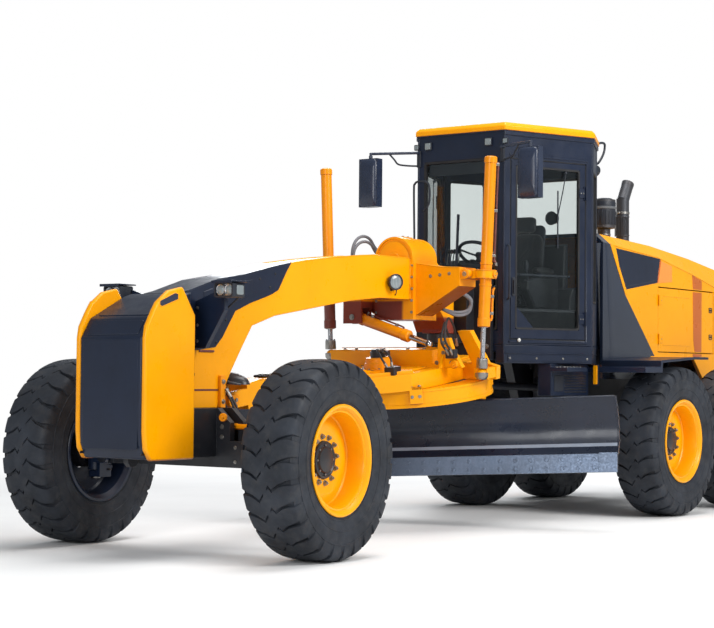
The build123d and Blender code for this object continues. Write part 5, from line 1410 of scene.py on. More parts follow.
# perforated heat shield on the lower half
for k in range(14):
    a = radians(-80 + 160 * k / 13)
    p.rod((74 * cos(a), 74 * sin(a), 2620), (74 * cos(a), 74 * sin(a), 2800), 3, E, 6, 0)
for z in (2620, 2800):
    p.lathe([(z - 6, 70), (z - 6, 77), (z + 6, 77), (z + 6, 70)], E, 32, 0, False, close=True, arc=(radians(-85), radians(85)))
C = frame_at((-1.990, 0.260, 0), (1, 0, 0), (0, 0, 1))
p.lathe([(2650, 64), (2668, 104), (2690, 111), (2836, 113), (2840, 110)], C, 48, 2, True, cap=False)
p.lathe([(2838, 109), (2842, 115), (2862, 115), (2866, 109)], C, 48, 3, True, cap=False)
p.lathe([(2864, 112), (2900, 114), (2926, 104), (2944, 70), (2948, 20), (2948, 0.6)], C, 48, 2, True, cap=False)
for k in range(20):
    a = 2 * pi * k / 20
    p.rod((113 * cos(a), 113 * sin(a), 2690), (113 * cos(a), 113 * sin(a), 2820), 3.5, C, 6, 2)
p.lathe([(2500, 63), (2503, 88), (2512, 88), (2516, 64)], C, 36, 2, True, cap=False)
p.lathe([(2590, 62), (2592, 66), (2606, 66), (2608, 62)], C, 32, 1, True, cap=False)
p.build()

# =============================================================== rear of the machine, tandems, steps
p = Piece("rear_details", "rear_frame", "black", "dark", "red", "amber", "lamp", "zinc", "yellow", "hose", "maroon")
for s in SIDES:
    # lamp clusters on the bumper
    p.prism(rrect(s * 400 - 90, s * 400 + 90, 1080, 1160, 12), 4450, 4462, frame_at((0, 0, 0), (0, -1, 0), (-1, 0, 0)) if False else frame_at((0, 0, 0), (0, -1, 0), (-1, 0, 0)), 0, c=3)
    for k, mk in ((-1, 2), (0, 3), (1, 4)):
        y = s * 400 + k * 56
        p.prism(rrect(-(y + 24), -(y - 24), 1092, 1148, 8), 4458, 4470, frame_at((0, 0, 0), (0, -1, 0), (-1, 0, 0)), mk, c=3)
    # bumper: bolts and tread plate
    for y in (250, 330, 480, 530):
        p.bolt((-4450, s * y, 830), (-1, 0, 0), 12, 10, mat=5)
    for k in range(9):
        p.box(-4440, -4262, s * (190 + k * 40) - 6, s * (190 + k * 40) + 6, 1179, 1184, 0)
    # handrail beside the hood's back corner
    p.tube([(-4330, s * 575, 1190), (-4352, s * 585, 1300), (-4352, s * 585, 1850), (-4318, s * 575, 1950), (-4296, s * 570, 1960)], 14, ID, 10, 0, 5)
    # tandem cases: top covers, plugs and inner bolts
    for x in (-1745, -2490, -3235):
        p.prism(rrect(x - 150, x + 150, s * 695 - 68, s * 695 + 68, 20), 848, 860, TOP, 1, c=2)
        for dx in (-125, 0, 125):
            for dy in (-52, 52):
                p.bolt((x + dx, s * 695 + dy, 860), (0, 0, 1), 9, 8, mat=5)
    for x in (-1745, -3235):
        p.lathe([(780, 122), (792, 122), (800, 112), (960, 108), (968, 100)], frame_at((x * 0.001, 0, 0.675), (0, 0, 1), (0, s, 0)), 40, 0, True, cap=False)
        for k in range(10):
            a = 2 * pi * k / 10
            p.bolt((x + 114 * cos(a), s * 790, 675 + 114 * sin(a)), (0, s, 0), 7, 7, mat=5, washer=False)
    p.rod((-2490, s * 788, 640), (-2490, s * 802, 640), 22, ID, 20, 5)
    for k in range(12):
        a = 2 * pi * k / 12
        p.bolt((-2490 + 125 * cos(a), s * 600, 700 + 125 * sin(a)), (0, -s, 0), 10, 9, mat=5)
    # rail bolts
    for x in (-1600, -2000, -2490, -2900, -3400, -3900):
        for z in (960, 1060):
            p.bolt((x, s * 340, z), (0, s, 0), 10, 9, mat=5)
    # brake hoses to the tandem
    p.hose([(-2300, s * 340, 1150), (-2320, s * 430, 1080), (-2380, s * 560, 960), (-2400, s * 640, 900), (-2400, s * 660, 862)], 10, ID, 7, 5)
    p.hose([(-2650, s * 340, 1150), (-2640, s * 440, 1090), (-2600, s * 570, 970), (-2590, s * 640, 905), (-2590, s * 660, 862)], 10, ID, 7, 5)
# fuel tank between the rails behind the engine, its cap and the gearbox ahead
p.prism(rrect(-240, 240, 1130, 1780, 60), 3420, 4180, frame_at((0, 0, 0), (0, -1, 0), (-1, 0, 0)), 1, c=12)
p.box(-1780, -1430, -200, 200, 960, 1400, 0, c=30)
p.lathe([(1430, 130), (1360, 140), (1290, 110), (1210, 60), (1190, 40)], frame_at((0, 0, 1.150), (0, -1, 0), (-1, 0, 0)), 32, 0, True)
p.rod((-1195, 0, 1150), (90, 0, 1176), 34, ID, 20, 0)
# cylinders of the articulation joint, on the rear frame's side
for s in SIDES:
    p.bolt((175, s * 300, 1500), (1, 0, 0), 16, 12, mat=5)
    p.bolt((175, s * 300, 1960), (1, 0, 0), 16, 12, mat=5)
    for z in (1700, 1760, 1820):
        p.bolt((176, s * 240, z), (1, 0, 0), 10, 14, mat=5)
    for z, d in ((2075, 1), (1525, -1)):
        p.lathe([(-2, 70), (8, 70), (12, 62), (12, 0.6)], frame_at((0.430, 0, z * 0.001), (1, 0, 0), (0, 0, d)), 32, 0)
        for k in range(6):
            a = 2 * pi * k / 6
            p.bolt((430 + 50 * cos(a), 50 * sin(a), z + d * 11), (0, 0, d), 8, 8, mat=5, washer=False)
p.build(bevel=0.001)

# engine: heads, filters, pulleys (seen through the open doors)
p = Piece("engine_details", "rear_frame", "cast", "zinc", "black", "hose", "maroon", "orange")
for s in SIDES:
    for k in range(6):
        x = -1960 - k * 215
        p.box(x - 88, x + 88, s * 60, s * 235, 1950, 2020, 2 if s > 0 else 0, c=8)
        p.bolt((x, s * 150, 2020), (0, 0, 1), 12, 10, mat=1)
    p.tube([(-1900, s * 262, 1850), (-2500, s * 268, 1860), (-3200, s * 262, 1850)], 34, ID, 14, 4 if s > 0 else 0, 6)
    for k in range(6):
        x = -1960 - k * 215
        p.tube([(x, s * 240, 1930), (x, s * 262, 1905), (x, s * 266, 1870)], 22, ID, 10, 4 if s > 0 else 0, 4)
    for x in (-2150, -2330):
        p.lathe([(0, 40), (6, 52), (140, 52), (160, 44), (166, 20), (166, 0.6)], frame_at((x * 0.001, s * 0.300, 1.560), (1, 0, 0), (0, 0, -1)), 28, 5 if x < -2200 else 2, True)
        p.box(x - 40, x + 40, s * 245, s * 330, 1560, 1600, 0, c=4)
    p.hose([(-2000, s * 262, 1500), (-2100, s * 330, 1420), (-2500, s * 340, 1400), (-2800, s * 262, 1450)], 16, ID, 3, 1)
p.lathe([(1800, 60), (1760, 62), (1758, 120), (1730, 120), (1728, 90), (1716, 90)], frame_at((0, 0, 1.400), (0, -1, 0), (-1, 0, 0)), 40, 0, True)
p.build()

# =============================================================== cab: seals, lamps, rails
def facet(a, b):
    """Frame on a wall of the cab: origin at corner b, x towards corner a, z up; and the same turned so that y is up and z is square to the wall."""
    d = Vector((a[0] - b[0], a[1] - b[1], 0))
    fr = frame_at((b[0] * 0.001, b[1] * 0.001, 0), d, (0, 0, 1))
    return fr, fr @ Matrix.Rotation(radians(90), 4, "X"), d.length


def seal_ring(p, x0, x1, z0, z1, lo, hi, frame, mat, w=17, r=26):
    ring_of(p, rrect(x0 - 2, x1 + 2, z0 - 2, z1 + 2, r + 2), rrect(x0 + w, x1 - w, z0 + w, z1 - w, max(6, r - 8)), lo, hi, frame, mat)


p = Piece("cab_trim_outside", "rear_frame", "seal", "dark", "zinc", "lamp", "plastic", "yellow", "black", "knob", "trim_light")
seal_ring(p, -375, 375, 1640, 3110, 96, 133, FRONT, 0)
seal_ring(p, -470, 470, 1900, 3060, -1293, -1256, FRONT, 0)
for s in SIDES:
    qf, qr, qlen = facet((-770, s * 800), (-1290, s * 560))
    mid = qlen / 2
    seal_ring(p, mid - 205, mid + 205, 1900, 3060, -s * 3, s * 30, qr, 0)
    df, dr, dlen = facet((130, s * 445), (-770, s * 800))
    # rubber round the door opening and the sill under it
    seal_ring(p, 72, dlen - 64, 1562, 3108, s * 8, s * 46, dr, 0, w=5)
    p.box(60, dlen - 50, -s * 2, s * 12, 1532, 1552, 1, df, c=3)
    p.box(60, dlen - 50, -s * 2, s * 8, 3128, 3150, 1, df, c=3)
    # header over the walls
    p.box(-8, dlen + 8, -s * 2, s * 14, 3300, 3338, 1, df, c=5)
    p.box(-4, qlen + 6, -s * 2, s * 14, 3300, 3338, 1, qf, c=5)
    # skirt: folds and fixings
    p.box(10, dlen - 10, -s * 2, s * 7, 1440, 1452, 1, df, c=2)
    p.box(40, dlen - 40, -s * 2, s * 5, 1375, 1428, 1, df, c=2)
    p.box(10, qlen - 10, -s * 2, s * 7, 1440, 1452, 1, qf, c=2)
    for d in (60, 330, 620, dlen - 60):
        p.bolt(tuple(df @ (Vector((d, s * 6, 1402)) * 0.001) * 1000), tuple((df.to_3x3() @ Vector((0, s, 0)))), 8, 6, mat=2)
    # rounded corner posts
    for (x, y) in ((130, 445), (-770, 800), (-1290, 560)):
        p.rod((x - (8 if x > 0 else (0 if x > -1000 else -8)), s * (y - 8), 1470), (x - (8 if x > 0 else (0 if x > -1000 else -8)), s * (y - 8), 3338), 13, ID, 12, 1)
    # pale knob at the front corner under the door
    kp = df @ (Vector((dlen - 144, s * 2, 1556)) * 0.001) * 1000
    kd = df.to_3x3() @ Vector((0, s, 0))
    p.rod(tuple(kp), tuple(kp + kd * 16), 8, ID, 14, 4)
    p.lathe([(0, 9), (3, 15), (9, 17), (15, 13), (18, 6), (18.4, 0.6)], frame_at((kp + kd * 14) * 0.001, (0, 0, 1), kd), 22, 7, True, cap=False)
    # grab rail in front
    p.tube([(104, s * 462, 2240), (122, s * 472, 2262), (128, s * 474, 2300), (140, s * 474, 2600), (150, s * 472, 2880), (152, s * 462, 2926), (152, s * 430, 2946), (152, s * 360, 2944),
            (152, s * 318, 2918), (152, s * 306, 2850), (152, s * 312, 2750), (152, s * 350, 2700), (130, s * 385, 2690)] if s < 0 else
           [(110, s * 470, 1900), (128, s * 492, 1915), (130, s * 497, 1960), (130, s * 497, 2300), (128, s * 492, 2345), (108, s * 468, 2360)], 9.5, ID, 10, 4, 5)
    # front work lamps in the header
    y = 285 if s > 0 else -330
    p.prism(rrect(y - 36, y + 36, 3214, 3284, 9), 130, 150, FRONT, 4, c=3)
    p.prism(rrect(y - 28, y + 28, 3222, 3276, 7), 148, 154, FRONT, 3, c=2)
    p.prism(rrect(s * 452 - 26, s * 452 + 26, 3222, 3272, 8), 120, 146, FRONT, 4, c=3)
    p.prism(rrect(s * 452 - 19, s * 452 + 19, 3229, 3265, 6), 144, 149, FRONT, 3, c=2)
    # rear rail and work lamp
    p.tube([(-1290, s * 535, 3352), (-1370, s * 542, 3384), (-1446, s * 545, 3392), (-1468, s * 545, 3366), (-1440, s * 545, 3290), (-1360, s * 540, 3205), (-1290, s * 535, 3180)], 11, ID, 10, 4, 6)
    p.lathe([(0, 20), (10, 44), (40, 52), (66, 54), (70, 52), (70, 44), (60, 42)], frame_at((-1.306, s * 0.500, 3.140), (0, 0, 1), (-1, 0, -0.12)), 30, 4, True, cap=False)
    p.lathe([(60, 43), (64, 34), (66, 16), (66, 0.6)], frame_at((-1.306, s * 0.500, 3.140), (0, 0, 1), (-1, 0, -0.12)), 30, 3, True, cap=False)
    # mirror arm's brace
    p.tube([(262, s * 662, 3194), (244, s * 618, 3140), (232, s * 585, 3100), (200, s * 512, 3086), (132, s * 432, 3084)], 8, ID, 8, 4, 6)
    p.box(126, 150, s * 408, s * 446, 3070, 3214, 4, c=4)
# windscreen wiper
p.rod((131, 40, 1600), (158, 40, 1600), 14, ID, 16, 4)
p.tube([(152, 40, 1604), (158, 20, 1760), (150, -60, 2120), (141, -96, 2280)], 6, ID, 8, 4, 6)
p.box(108, 140, -130 - 6, -130 + 6, 1960, 2640, 4, frame_at((0, 0, 0), (1, 0, 0), (0, 0.04, 1)))
# front panel under the windscreen
p.prism(rrect(-330, 330, 1535, 1618, 10), 129, 136, FRONT, 1, c=2)
for y in (-300, -100, 100, 300):
    p.bolt((136, y, 1576), (1, 0, 0), 7, 5, mat=2)
# steps: battery box, treads, grille
for k in range(7):
    z = 1108 + k * 24
    p.prism([(-950, z), (-560, z), (-560, z + 12), (-950, z + 12)], -636, -646, SIDE, 6, c=2)
p.prism(rrect(-985, -345, 1088, 1282, 12), -638, -643, SIDE, 1, c=2)
p.prism(rrect(-540, -380, 1120, 1260, 10), -642, -648, SIDE, 4, c=2)
p.box(-1003, -991, 690, 730, 1182, 1350, 5, c=3)
p.box(-1014, -1003, 682, 738, 1174, 1358, 1, c=2)
for s in SIDES:
    z = 1330 if s > 0 else 1361
    for k in range(6):
        for j in range(2 if s > 0 else 4):
            x = -660 + k * 56
            y = (668 + j * 70) if s > 0 else (520 + j * 70)
            p.lathe([(0, 15), (5, 13), (6, 8), (3, 7)], frame_at((x * 0.001, s * y * 0.001, (z - 1) * 0.001), (1, 0, 0), (0, 0, 1)), 12, 2, False, cap=False)
p.build(bevel=0.0012)

# roof: gutter, raised panel, hatch
p = Piece("roof_details", "rear_frame", "yellow", "dark", "black", "zinc")
RING = [(118, 432), (-768, 782), (-1278, 548), (-1278, -548), (-768, -782), (118, -432)]
p.prism(grown(RING, -140), 3408, 3420, TOP, 0, c=4)
p.prism(grown(RING, -260), 3418, 3425, TOP, 0, c=3)
p.prism(rrect(-760, -360, -200, 200, 40), 3424, 3440, TOP, 0, c=5)
p.rod((-360, 0, 3446), (-300, 0, 3430), 10, ID, 10, 2)
p.prism(grown(RING, 27), 3331, 3345, TOP, 1, c=3)
for x, y in ((0, 300), (-700, 600), (-1150, 420)):
    for s in SIDES:
        p.bolt((x, s * y, 3408), (0, 0, 1), 10, 8, mat=3)
p.build(bevel=0.0015)

# mirrors: glass and rims
p = Piece("mirror_faces", "rear_frame", "mirror", "shell", "zinc")
for s in SIDES:
    y0, y1 = sorted((s * 722, s * 903))
    fr = frame_at((0, 0, 0), (0, -1, 0), (-1, 0, 0))
    p.prism(rrect(-y1 + 8, -y0 - 8, 2738, 3138, 26), -291, -286, fr, 0)
    ring_of(p, rrect(-y1 - 2, -y0 + 2, 2724, 3152, 34), rrect(-y1 + 10, -y0 - 10, 2740, 3136, 24), -296, -282, fr, 1)
    # swelling back of the housing
    rows = []
    for i in range(7):
        t = i / 6 * pi / 2
        k = cos(t) ** 0.6 if t < pi / 2 - 1e-6 else 0.02
        out = rrect((y0 + y1) / 2 - 92 * k, (y0 + y1) / 2 + 92 * k, 2937 - 208 * k, 2937 + 208 * k, 34 * k, 4)
        rows.append([(366 + 34 * sin(t), q[0], q[1]) for q in out])
    p.grid(rows, 1, True, ID, wrap=True)
    p.lathe([(-18, 17), (18, 17)], frame_at((0.330, s * 0.812, 3.160), (1, 0, 0), (0, 0, 1)), 16, 1)
p.build()

for name, s in (("left", 1), ("right", -1)):
    df, dr, dlen = facet((130, s * 445), (-770, s * 800))
    p = Piece("door_trim_" + name, "cab_door_" + name, "seal", "plastic", "zinc", "dark", "trim", "black")
    seal_ring(p, 142, dlen - 124, 1650, 3050, s * 4, s * 31, dr, 0, w=15)
    # cut lower front corner
    p.prism([(dlen - 130, 1655), (dlen - 330, 1655), (dlen - 130, 1850)], s * 8, s * 20, dr, 3, c=1)
    # handle with its bezel
    p.prism(rrect(dlen - 116, dlen - 84, 1930, 2090, 10), s * 6, -s * 4, dr, 1, c=2)
    p.rod(tuple(df @ (Vector((dlen - 100, s * 10, 1950)) * 0.001) * 1000), tuple(df @ (Vector((dlen - 100, s * 10, 2070)) * 0.001) * 1000), 8, ID, 12, 1)
    # inner lining, bar and bin
    top = 1830 if s > 0 else 2240
    p.box(120, dlen - 110, -s * 47, -s * 60, 1585, top, 4, df, c=5)
    p.box(150, dlen - 150, -s * 47, -s * 56, 1600, top - 20, 5, df, c=5)
    a = df @ (Vector((200, -s * 70, 2120)) * 0.001) * 1000
    b = df @ (Vector((dlen - 180, -s * 70, 2120)) * 0.001) * 1000
    p.rod(tuple(a), tuple(b), 11, ID, 12, 1)
    for d in (230, dlen - 210):
        p.rod(tuple(df @ (Vector((d, -s * 46, 2120)) * 0.001) * 1000), tuple(df @ (Vector((d, -s * 70, 2120)) * 0.001) * 1000), 8, ID, 10, 1)
    # wiper on the glass
    p.rod(tuple(df @ (Vector((300, s * -22, 3020)) * 0.001) * 1000), tuple(df @ (Vector((300, s * 4, 3020)) * 0.001) * 1000), 11, ID, 12, 1)
    p.tube([tuple(df @ (Vector(q) * 0.001) * 1000) for q in ((300, -s * 2, 3020), (330, -s * 6, 2860), (380, -s * 12, 2640))], 5, ID, 8, 1, 5)
    p.box(372, 384, -s * 10, -s * 21, 2360, 2860, 1, df)
    for z in (1750, 2850):
        p.box(84, 150, -s * 4, s * 3, z - 42, z + 42, 3, df, c=2)
        for d in (108, 134):
            kp = df @ (Vector((d, s * 3, z)) * 0.001) * 1000
            p.bolt(tuple(kp), tuple(df.to_3x3() @ Vector((0, s, 0))), 6, 5, mat=2, washer=False)
    p.build(bevel=0.001)

# =============================================================== inside of the cab
p = Piece("cab_inside", "rear_frame", "trim", "trim_light", "plastic", "black", "zinc", "knob", "mat", "red", "yellow")
INNER = grown([(118, 432), (-768, 782), (-1278, 548), (-1278, -548), (-768, -782), (118, -432)], -44)
p.prism(INNER, 1515, 1527, TOP, 6, c=2)
p.prism(INNER, 3292, 3338, TOP, 0, c=4)
p.prism(rrect(-1000, -200, -260, 260, 60), 3276, 3296, TOP, 0, c=8)
for k in range(9):
    p.box(-640 + k * 60, -610 + k * 60, -360, 360, 1526, 1531, 6)
# cabinet behind the seat, side consoles and posts' linings
p.prism([(-1236, 1527), (-1040, 1527), (-1060, 1960), (-1110, 2040), (-1236, 2060)], -420, 420, SIDE, 0, c=10)
p.prism([(-1236, 2040), (-1150, 2040), (-1170, 2440), (-1236, 2460)], -300, 300, SIDE, 0, c=12)
p.prism([(-1180, 1527), (-840, 1527), (-840, 2120), (-900, 2230), (-1180, 2300)], 430, 560, SIDE, 0, c=14)
for s in SIDES:
    p.prism([(-960, 1850), (-560, 1850), (-420, 2010), (-430, 2080), (-560, 2120), (-960, 2140)], -s * 262, -s * 352, SIDE, 0, c=12)
    p.box(-940, -640, s * 258, s * 356, 2138, 2166, 2, c=12)
    p.box(-800, -660, s * 270, s * 340, 1527, 1860, 0, c=8)
    # switches and a joystick
    for k in range(5):
        p.box(-620 + k * 26, -602 + k * 26, s * 290, s * 324, 2112 - k * 3, 2122 - k * 3, 3)
    p.tube([(-500, s * 306, 2090), (-480, s * 306, 2150), (-470, s * 306, 2200)], 9, ID, 10, 2, 4)
    p.lathe([(0, 12), (10, 20), (46, 24), (70, 21), (86, 12), (90, 0.6)], frame_at((-0.474, s * 0.306, 2.180), (1, 0, 0), (0.15, 0, 1)), 20, 2)
    p.rod((-400, s * 150, 1527), (-340, s * 150, 1640), 9, ID, 10, 2)
    p.prism(rrect(-52, 52, -70, 70, 10), 0, 10, frame_at((-0.345, s * 0.150, 1.640), (0, 1, 0), (-0.62, 0, 0.78)), 3, c=2)
    # rear pillars' lining
    p.prism(rrect(-1235, -1195, s * 500 - 40, s * 500 + 40, 8), 1900, 3290, TOP, 0, c=3)
p.rod((-1190, 150, 2700), (-1240, 150, 2700), 50, ID, 24, 2)
p.lathe([(0, 60), (6, 64), (8, 52), (4, 48), (4, 0.6)], frame_at((-1.186, 0.150, 2.700), (0, 0, 1), (1, 0, 0)), 28, 3)
# sun blind at the top of the windscreen
p.prism([(60, 3110), (92, 3110), (92, 3290), (60, 3290)], -360, 360, SIDE, 2, c=4)
p.prism([(86, 2990), (90, 2990), (90, 3110), (86, 3110)], -350, 350, SIDE, 2)
# inner mirror
p.rod((70, 0, 3120), (20, 0, 3070), 6, ID, 8, 2)
p.prism(rrect(-110, 110, 3020, 3076, 20), 8, 22, FRONT, 2, c=4)
p.build()

# steering column, wheel and lever banks
p = Piece("steering_column", "rear_frame", "trim", "plastic", "zinc", "black", "knob", "trim_light", "lamp")
p.prism([(62, 1527), (-70, 1527), (-96, 1700), (-186, 2148), (-128, 2252), (-30, 2206), (20, 1980)], -112, 112, SIDE, 0, c=18)
p.prism([(-150, 2160), (-128, 2262), (-20, 2216), (-10, 2186)], -260, 260, SIDE, 1, c=14)
DASH = frame_at((-0.078, 0, 2.246), (0, 1, 0), (-46, 0, 108))
for y in (-62, 0, 62):
    p.lathe([(0, 27), (8, 27), (8, 23), (3, 22), (3, 0.6)], DASH @ Matrix.Translation((y * 0.001, 0, 0)), 24, 3)
    for k in range(9):
        a = radians(-30 + 30 * k)
        q = DASH @ Matrix.Translation((y * 0.001, 0, 0.004))
        p.rod((15 * cos(a), 15 * sin(a), 0), (20 * cos(a), 20 * sin(a), 0), 0.8, q, 5, 5, 0.2)
    p.rod((y, 0, 4), (y + 11, 9, 4), 1.0, DASH, 5, 4, 0.2)
WH = frame_at((-0.200, 0, 2.305), (0, 1, 0), (-0.55, 0, 0.83))
ringp = [(195 * cos(2 * pi * k / 40), 195 * sin(2 * pi * k / 40), 0) for k in range(40)]
rows = []
for k in range(49):
    a = 2 * pi * k / 48
    rows.append([((195 + 15 * cos(b)) * cos(a), (195 + 15 * cos(b)) * sin(a), 15 * sin(b)) for b in [2 * pi * j / 12 for j in range(12)]])
p.grid(rows, 1, True, WH, wrap=True)
for deg in (90, 210, 330):
    a = radians(deg)
    p.tube([(30 * cos(a), 30 * sin(a), -12), (100 * cos(a), 100 * sin(a), -10), (186 * cos(a), 186 * sin(a), 0)], 9, WH, 8, 1, 4)
p.lathe([(-60, 24), (-20, 26), (-16, 44), (4, 46), (12, 36), (14, 0.6)], WH, 30, 1)
p.rod((-130, 0, 2190), (-185, 0, 2280), 26, ID, 20, 0)
p.tube([(150, 0, 20), (155, 0, 40)], 8, WH, 8, 4, 2)
p.lathe([(30, 8), (40, 19), (62, 21), (72, 12), (74, 0.6)], WH @ Matrix.Translation((0.168, 0.09, 0)), 18, 4)
for s in SIDES:
    for k in range(5):
        y = s * (146 + k * 34)
        x = -70 - k * 8
        p.tube([(-20, y, 2150), (x + 10, y, 2215), (x - 20, y + s * 6, 2290), (x - 34, y + s * 8, 2330)], 5.5, ID, 8, 2, 4)
        p.lathe([(0, 6), (6, 13), (22, 16), (34, 13), (42, 5), (43, 0.6)], frame_at(((x - 34) * 0.001, (y + s * 8) * 0.001, 2.322), (1, 0, 0), (-0.2, 0, 1)), 16, 3)
    p.prism(rrect(-70, 20, s * 214 - 92, s * 214 + 92, 12), 2130, 2166, TOP, 1, c=5)
    p.tube([(0, s * 110, 2080), (10, s * 170, 2110), (-10, s * 210, 2140)], 14, ID, 10, 1, 4)
# screen on a stalk
p.tube([(20, 190, 2200), (10, 260, 2330), (-10, 290, 2420)], 7, ID, 8, 1, 5)
SC = frame_at((-0.010, 0.300, 2.480), (0, 1, 0), (-0.9, -0.35, 0.2))
p.prism(rrect(-95, 95, -65, 65, 12), -16, 10, SC, 1, c=4)
p.prism(rrect(-82, 82, -54, 54, 6), 9, 12, SC, 3, c=1)
p.build(replaces="steering_console")

# =============================================================== seat
def soft_block(p, a, b, c, frame, mat=0, e=0.34, grooves=(), cross=(), seed=1.0, nu=56, nv=30, wrinkle=1.6):
    """Stuffed cushion: rounded block with half sizes a, b, c, pulled in along its seams."""
    def pw(v, k):
        return math.copysign(abs(v) ** k, v)
    rows = []
    for i in range(nv + 1):
        ph = -pi / 2 + pi * i / nv
        row = []
        for j in range(nu):
            th = 2 * pi * j / nu
            x = a * pw(cos(ph), e) * pw(cos(th), e)
            y = b * pw(cos(ph), e) * pw(sin(th), e)
            z = c * pw(sin(ph), 0.62)
            # crown, seams and small creases of the cloth
            if z > 0:
                z += 0.30 * c * (1 - (x / a) ** 2) * (1 - (y / b) ** 2)
                for g in grooves:
                    z -= 9.0 * math.exp(-((y - g * b) / 9.0) ** 2)
                for g in cross:
                    z -= 7.0 * math.exp(-((x - g * a) / 9.0) ** 2) * (1 if abs(y) < 0.62 * b else 0.2)
            w = wrinkle * (sin(x * 0.045 + seed * 3) * sin(y * 0.052 + seed) + 0.6 * sin(x * 0.11 + y * 0.07 + seed * 5))
            k = 1 + w / max(60.0, (abs(x) + abs(y) + abs(z)))
            row.append((x * k, y * k, z + 0.5 * w))
        rows.append(row)
    p.grid(rows, mat, True, frame, wrap=True)


def piping(p, a, b, z, frame, mat=0, r=4.0, e=0.34):
    pts = []
    for j in range(49):
        th = 2 * pi * j / 48
        pts.append((math.copysign(abs(cos(th)) ** e, cos(th)) * a, math.copysign(abs(sin(th)) ** e, sin(th)) * b, z))
    p.tube(pts, r, frame, 6, mat, 2)


SEAT = frame_at((-0.720, 0, 1.975), (1, 0, 0), (-0.08, 0, 1))
p = Piece("seat_cushion", "rear_frame", "cloth", "vinyl")
soft_block(p, 236, 226, 62, SEAT, 0, grooves=(-0.58, 0.58), cross=(-0.3, 0.15, 0.55), seed=0.7)
piping(p, 232, 222, 8, SEAT, 1)
ob = p.build(angle=60)
BACKREST = frame_at((-0.893, 0, 2.288), (-0.118, 0, 1), (1, 0, 0.118))
p = Piece("seat_backrest", "rear_frame", "cloth", "vinyl")
soft_block(p, 252, 218, 48, BACKREST, 0, grooves=(-0.6, 0.6), cross=(-0.35, 0.05, 0.45), seed=2.1)
piping(p, 248, 214, -6, BACKREST, 1)
ob = p.build(angle=60)
HEAD = frame_at((-0.934, 0, 2.622), (-0.118, 0, 1), (1, 0, 0.118))
p = Piece("seat_headrest", "rear_frame", "cloth", "vinyl")
soft_block(p, 72, 126, 40, HEAD, 0, seed=4.0, nu=44, nv=24)
piping(p, 69, 123, 0, HEAD, 1, 3.0)
ob = p.build(angle=60)
for s, nm in ((1, "left"), (-1, "right")):
    p = Piece("seat_armrest_" + nm, "rear_frame", "cloth", "vinyl")
    soft_block(p, 150, 34, 24, frame_at((-0.770, s * 0.306, 2.190), (1, 0, 0), (0, 0, 1)), 1, seed=5.0 + s, nu=40, nv=20, wrinkle=0.8)
    ob = p.build(angle=60)

p = Piece("seat_base", "rear_frame", "plastic", "trim", "zinc", "chrome", "black", "hose")
p.prism(rrect(-930, -500, -215, 215, 40), 1885, 1925, TOP, 0, c=8)
for k in range(6):
    z = 1700 + k * 30
    p.prism(rrect(-880 + (k % 2) * 10, -560 - (k % 2) * 10, -170 + (k % 2) * 10, 170 - (k % 2) * 10, 40), z, z + 30, TOP, 5, c=9)
p.prism(rrect(-900, -540, -190, 190, 30), 1640, 1702, TOP, 1, c=8)
p.prism([(-880, 1527), (-560, 1527), (-600, 1645), (-850, 1645)], -160, 160, SIDE, 1, c=8)
p.prism(rrect(-290, 340, -212, 212, 60), -60, -36, frame_at((-0.893, 0, 2.288), (-0.118, 0, 1), (1, 0, 0.118)), 0, c=10)
for s in SIDES:
    p.box(-930, -480, s * 222, s * 240, 1880, 1950, 0, c=6)
    p.rod((-948, s * 60, 2520), (-962, s * 60, 2640), 7, ID, 10, 3)
    p.tube([(-900, s * 236, 2060), (-910, s * 250, 2000), (-880, s * 246, 1930)], 14, ID, 10, 0, 4)
    p.rod((-860, s * 222, 1930), (-860, s * 246, 1930), 26, ID, 20, 0)
p.rod((-500, 120, 1870), (-440, 120, 1862), 6, ID, 8, 2)
p.box(-450, -420, 90, 150, 1856, 1868, 0, c=4)
p.build(replaces="operator_seat")

# DETAILS END
# =============================================================== stage, lights and camera
floor_mesh = bpy.data.meshes.new("floor")
R = 45.0
floor_mesh.from_pydata([(R * cos(2 * pi * i / 64), R * sin(2 * pi * i / 64), -0.001) for i in range(64)], [], [list(range(64))])
floor = bpy.data.objects.new("floor", floor_mesh)
bpy.context.scene.collection.objects.link(floor)
fm, fnt, fb, fout = new_material("floor_white")
col = mix(fnt, ramp(fnt, noise(fnt, 0.8, 3.0), 0.3, 0.7), (0.86, 0.86, 0.86), (0.90, 0.90, 0.90))
fnt.links.new(col, fb.inputs["Base Color"])
fb.inputs["Roughness"].default_value = 0.9
fb.inputs["Specular IOR Level"].default_value = 0.1
# far from the machine the floor goes over into the white backdrop
far = fnt.nodes.new("ShaderNodeVectorMath")
far.operation = "LENGTH"
fnt.links.new(fnt.nodes.new("ShaderNodeTexCoord").outputs["Object"], far.inputs[0])
white = fnt.nodes.new("ShaderNodeEmission")
white.inputs[0].default_value = (1.0, 1.0, 1.0, 1.0)
white.inputs[1].default_value = 1.0
fms = fnt.nodes.new("ShaderNodeMixShader")
fnt.links.new(ramp(fnt, far.outputs["Value"], 5.5, 10.0), fms.inputs[0])
fnt.links.new(fb.outputs[0], fms.inputs[1])
fnt.links.new(white.outputs[0], fms.inputs[2])
fnt.links.new(fms.outputs[0], fout.inputs[0])
floor_mesh.materials.append(fm)

scene = bpy.context.scene
scene.view_settings.view_transform = "Standard"
scene.view_settings.look = "None"
scene.view_settings.exposure = 0.0

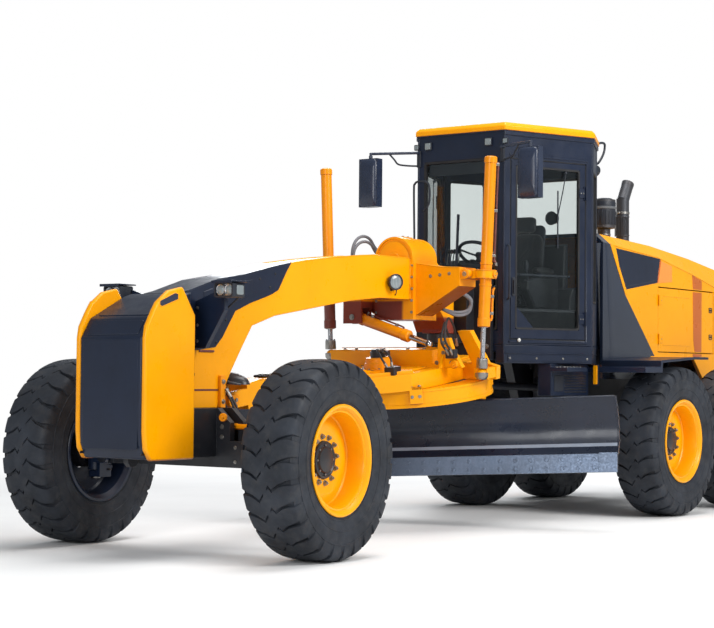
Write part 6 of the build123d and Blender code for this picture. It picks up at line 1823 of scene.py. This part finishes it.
world = bpy.data.worlds.new("studio")
scene.world = world
world.use_nodes = True
wnt = world.node_tree
wnt.nodes.clear()
wout = wnt.nodes.new("ShaderNodeOutputWorld")
bg = wnt.nodes.new("ShaderNodeBackground")
bg.inputs[0].default_value = (0.93, 0.97, 1.0, 1.0)
bg.inputs[1].default_value = 0.35
bg2 = wnt.nodes.new("ShaderNodeBackground")
bg2.inputs[0].default_value = (1.0, 1.0, 1.0, 1.0)
bg2.inputs[1].default_value = 1.0
lp = wnt.nodes.new("ShaderNodeLightPath")
msh = wnt.nodes.new("ShaderNodeMixShader")
wnt.links.new(lp.outputs["Is Camera Ray"], msh.inputs[0])
wnt.links.new(bg.outputs[0], msh.inputs[1])
wnt.links.new(bg2.outputs[0], msh.inputs[2])
wnt.links.new(msh.outputs[0], wout.inputs[0])


def area(name, place, target, size, power, colour=(1, 1, 1)):
    L = bpy.data.lights.new(name, "AREA")
    L.shape = "RECTANGLE"
    L.size, L.size_y = size
    L.energy = power
    L.color = colour
    ob = bpy.data.objects.new(name, L)
    scene.collection.objects.link(ob)
    ob.location = place
    ob.rotation_euler = (Vector(target) - Vector(place)).to_track_quat("-Z", "Y").to_euler()
    return ob


area("key", (1.5, 12.5, 8.5), (0.0, 0, 1.2), (6, 6), 1500, (1.0, 0.99, 0.975))
area("top", (-0.5, 1.0, 12.0), (0, 0, 0), (8, 6), 900)
area("front", (13.0, 3.0, 4.0), (2.0, 0, 1.2), (4, 4), 360, (0.97, 0.985, 1.0))
area("back", (-10.0, -8.0, 7.0), (-1, 0, 1.5), (6, 4), 600, (0.96, 0.98, 1.0))

cam_data = bpy.data.cameras.new("photo_camera")
cam = bpy.data.objects.new("photo_camera", cam_data)
scene.collection.objects.link(cam)
AZ, EL, ROLL = 0.62528448, 0.03429446, 0.00856974
d = Vector((-cos(AZ) * cos(EL), -sin(AZ) * cos(EL), sin(EL)))
right = d.cross(Vector((0, 0, 1))).normalized()
up = right.cross(d)
right2 = right * cos(ROLL) + up * sin(ROLL)
up2 = up * cos(ROLL) - right * sin(ROLL)
mat = Matrix((right2, up2, -d)).transposed().to_4x4()
mat.translation = Vector((13.30015759, 8.41615366, 1.23711371))
cam.matrix_world = mat
cam_data.sensor_fit = "HORIZONTAL"
cam_data.sensor_width = 36.0
cam_data.lens = 36.0 * 1812.27095 / 714.0
cam_data.clip_start = 0.1
cam_data.clip_end = 200.0
scene.camera = cam

bpy.context.view_layer.update()
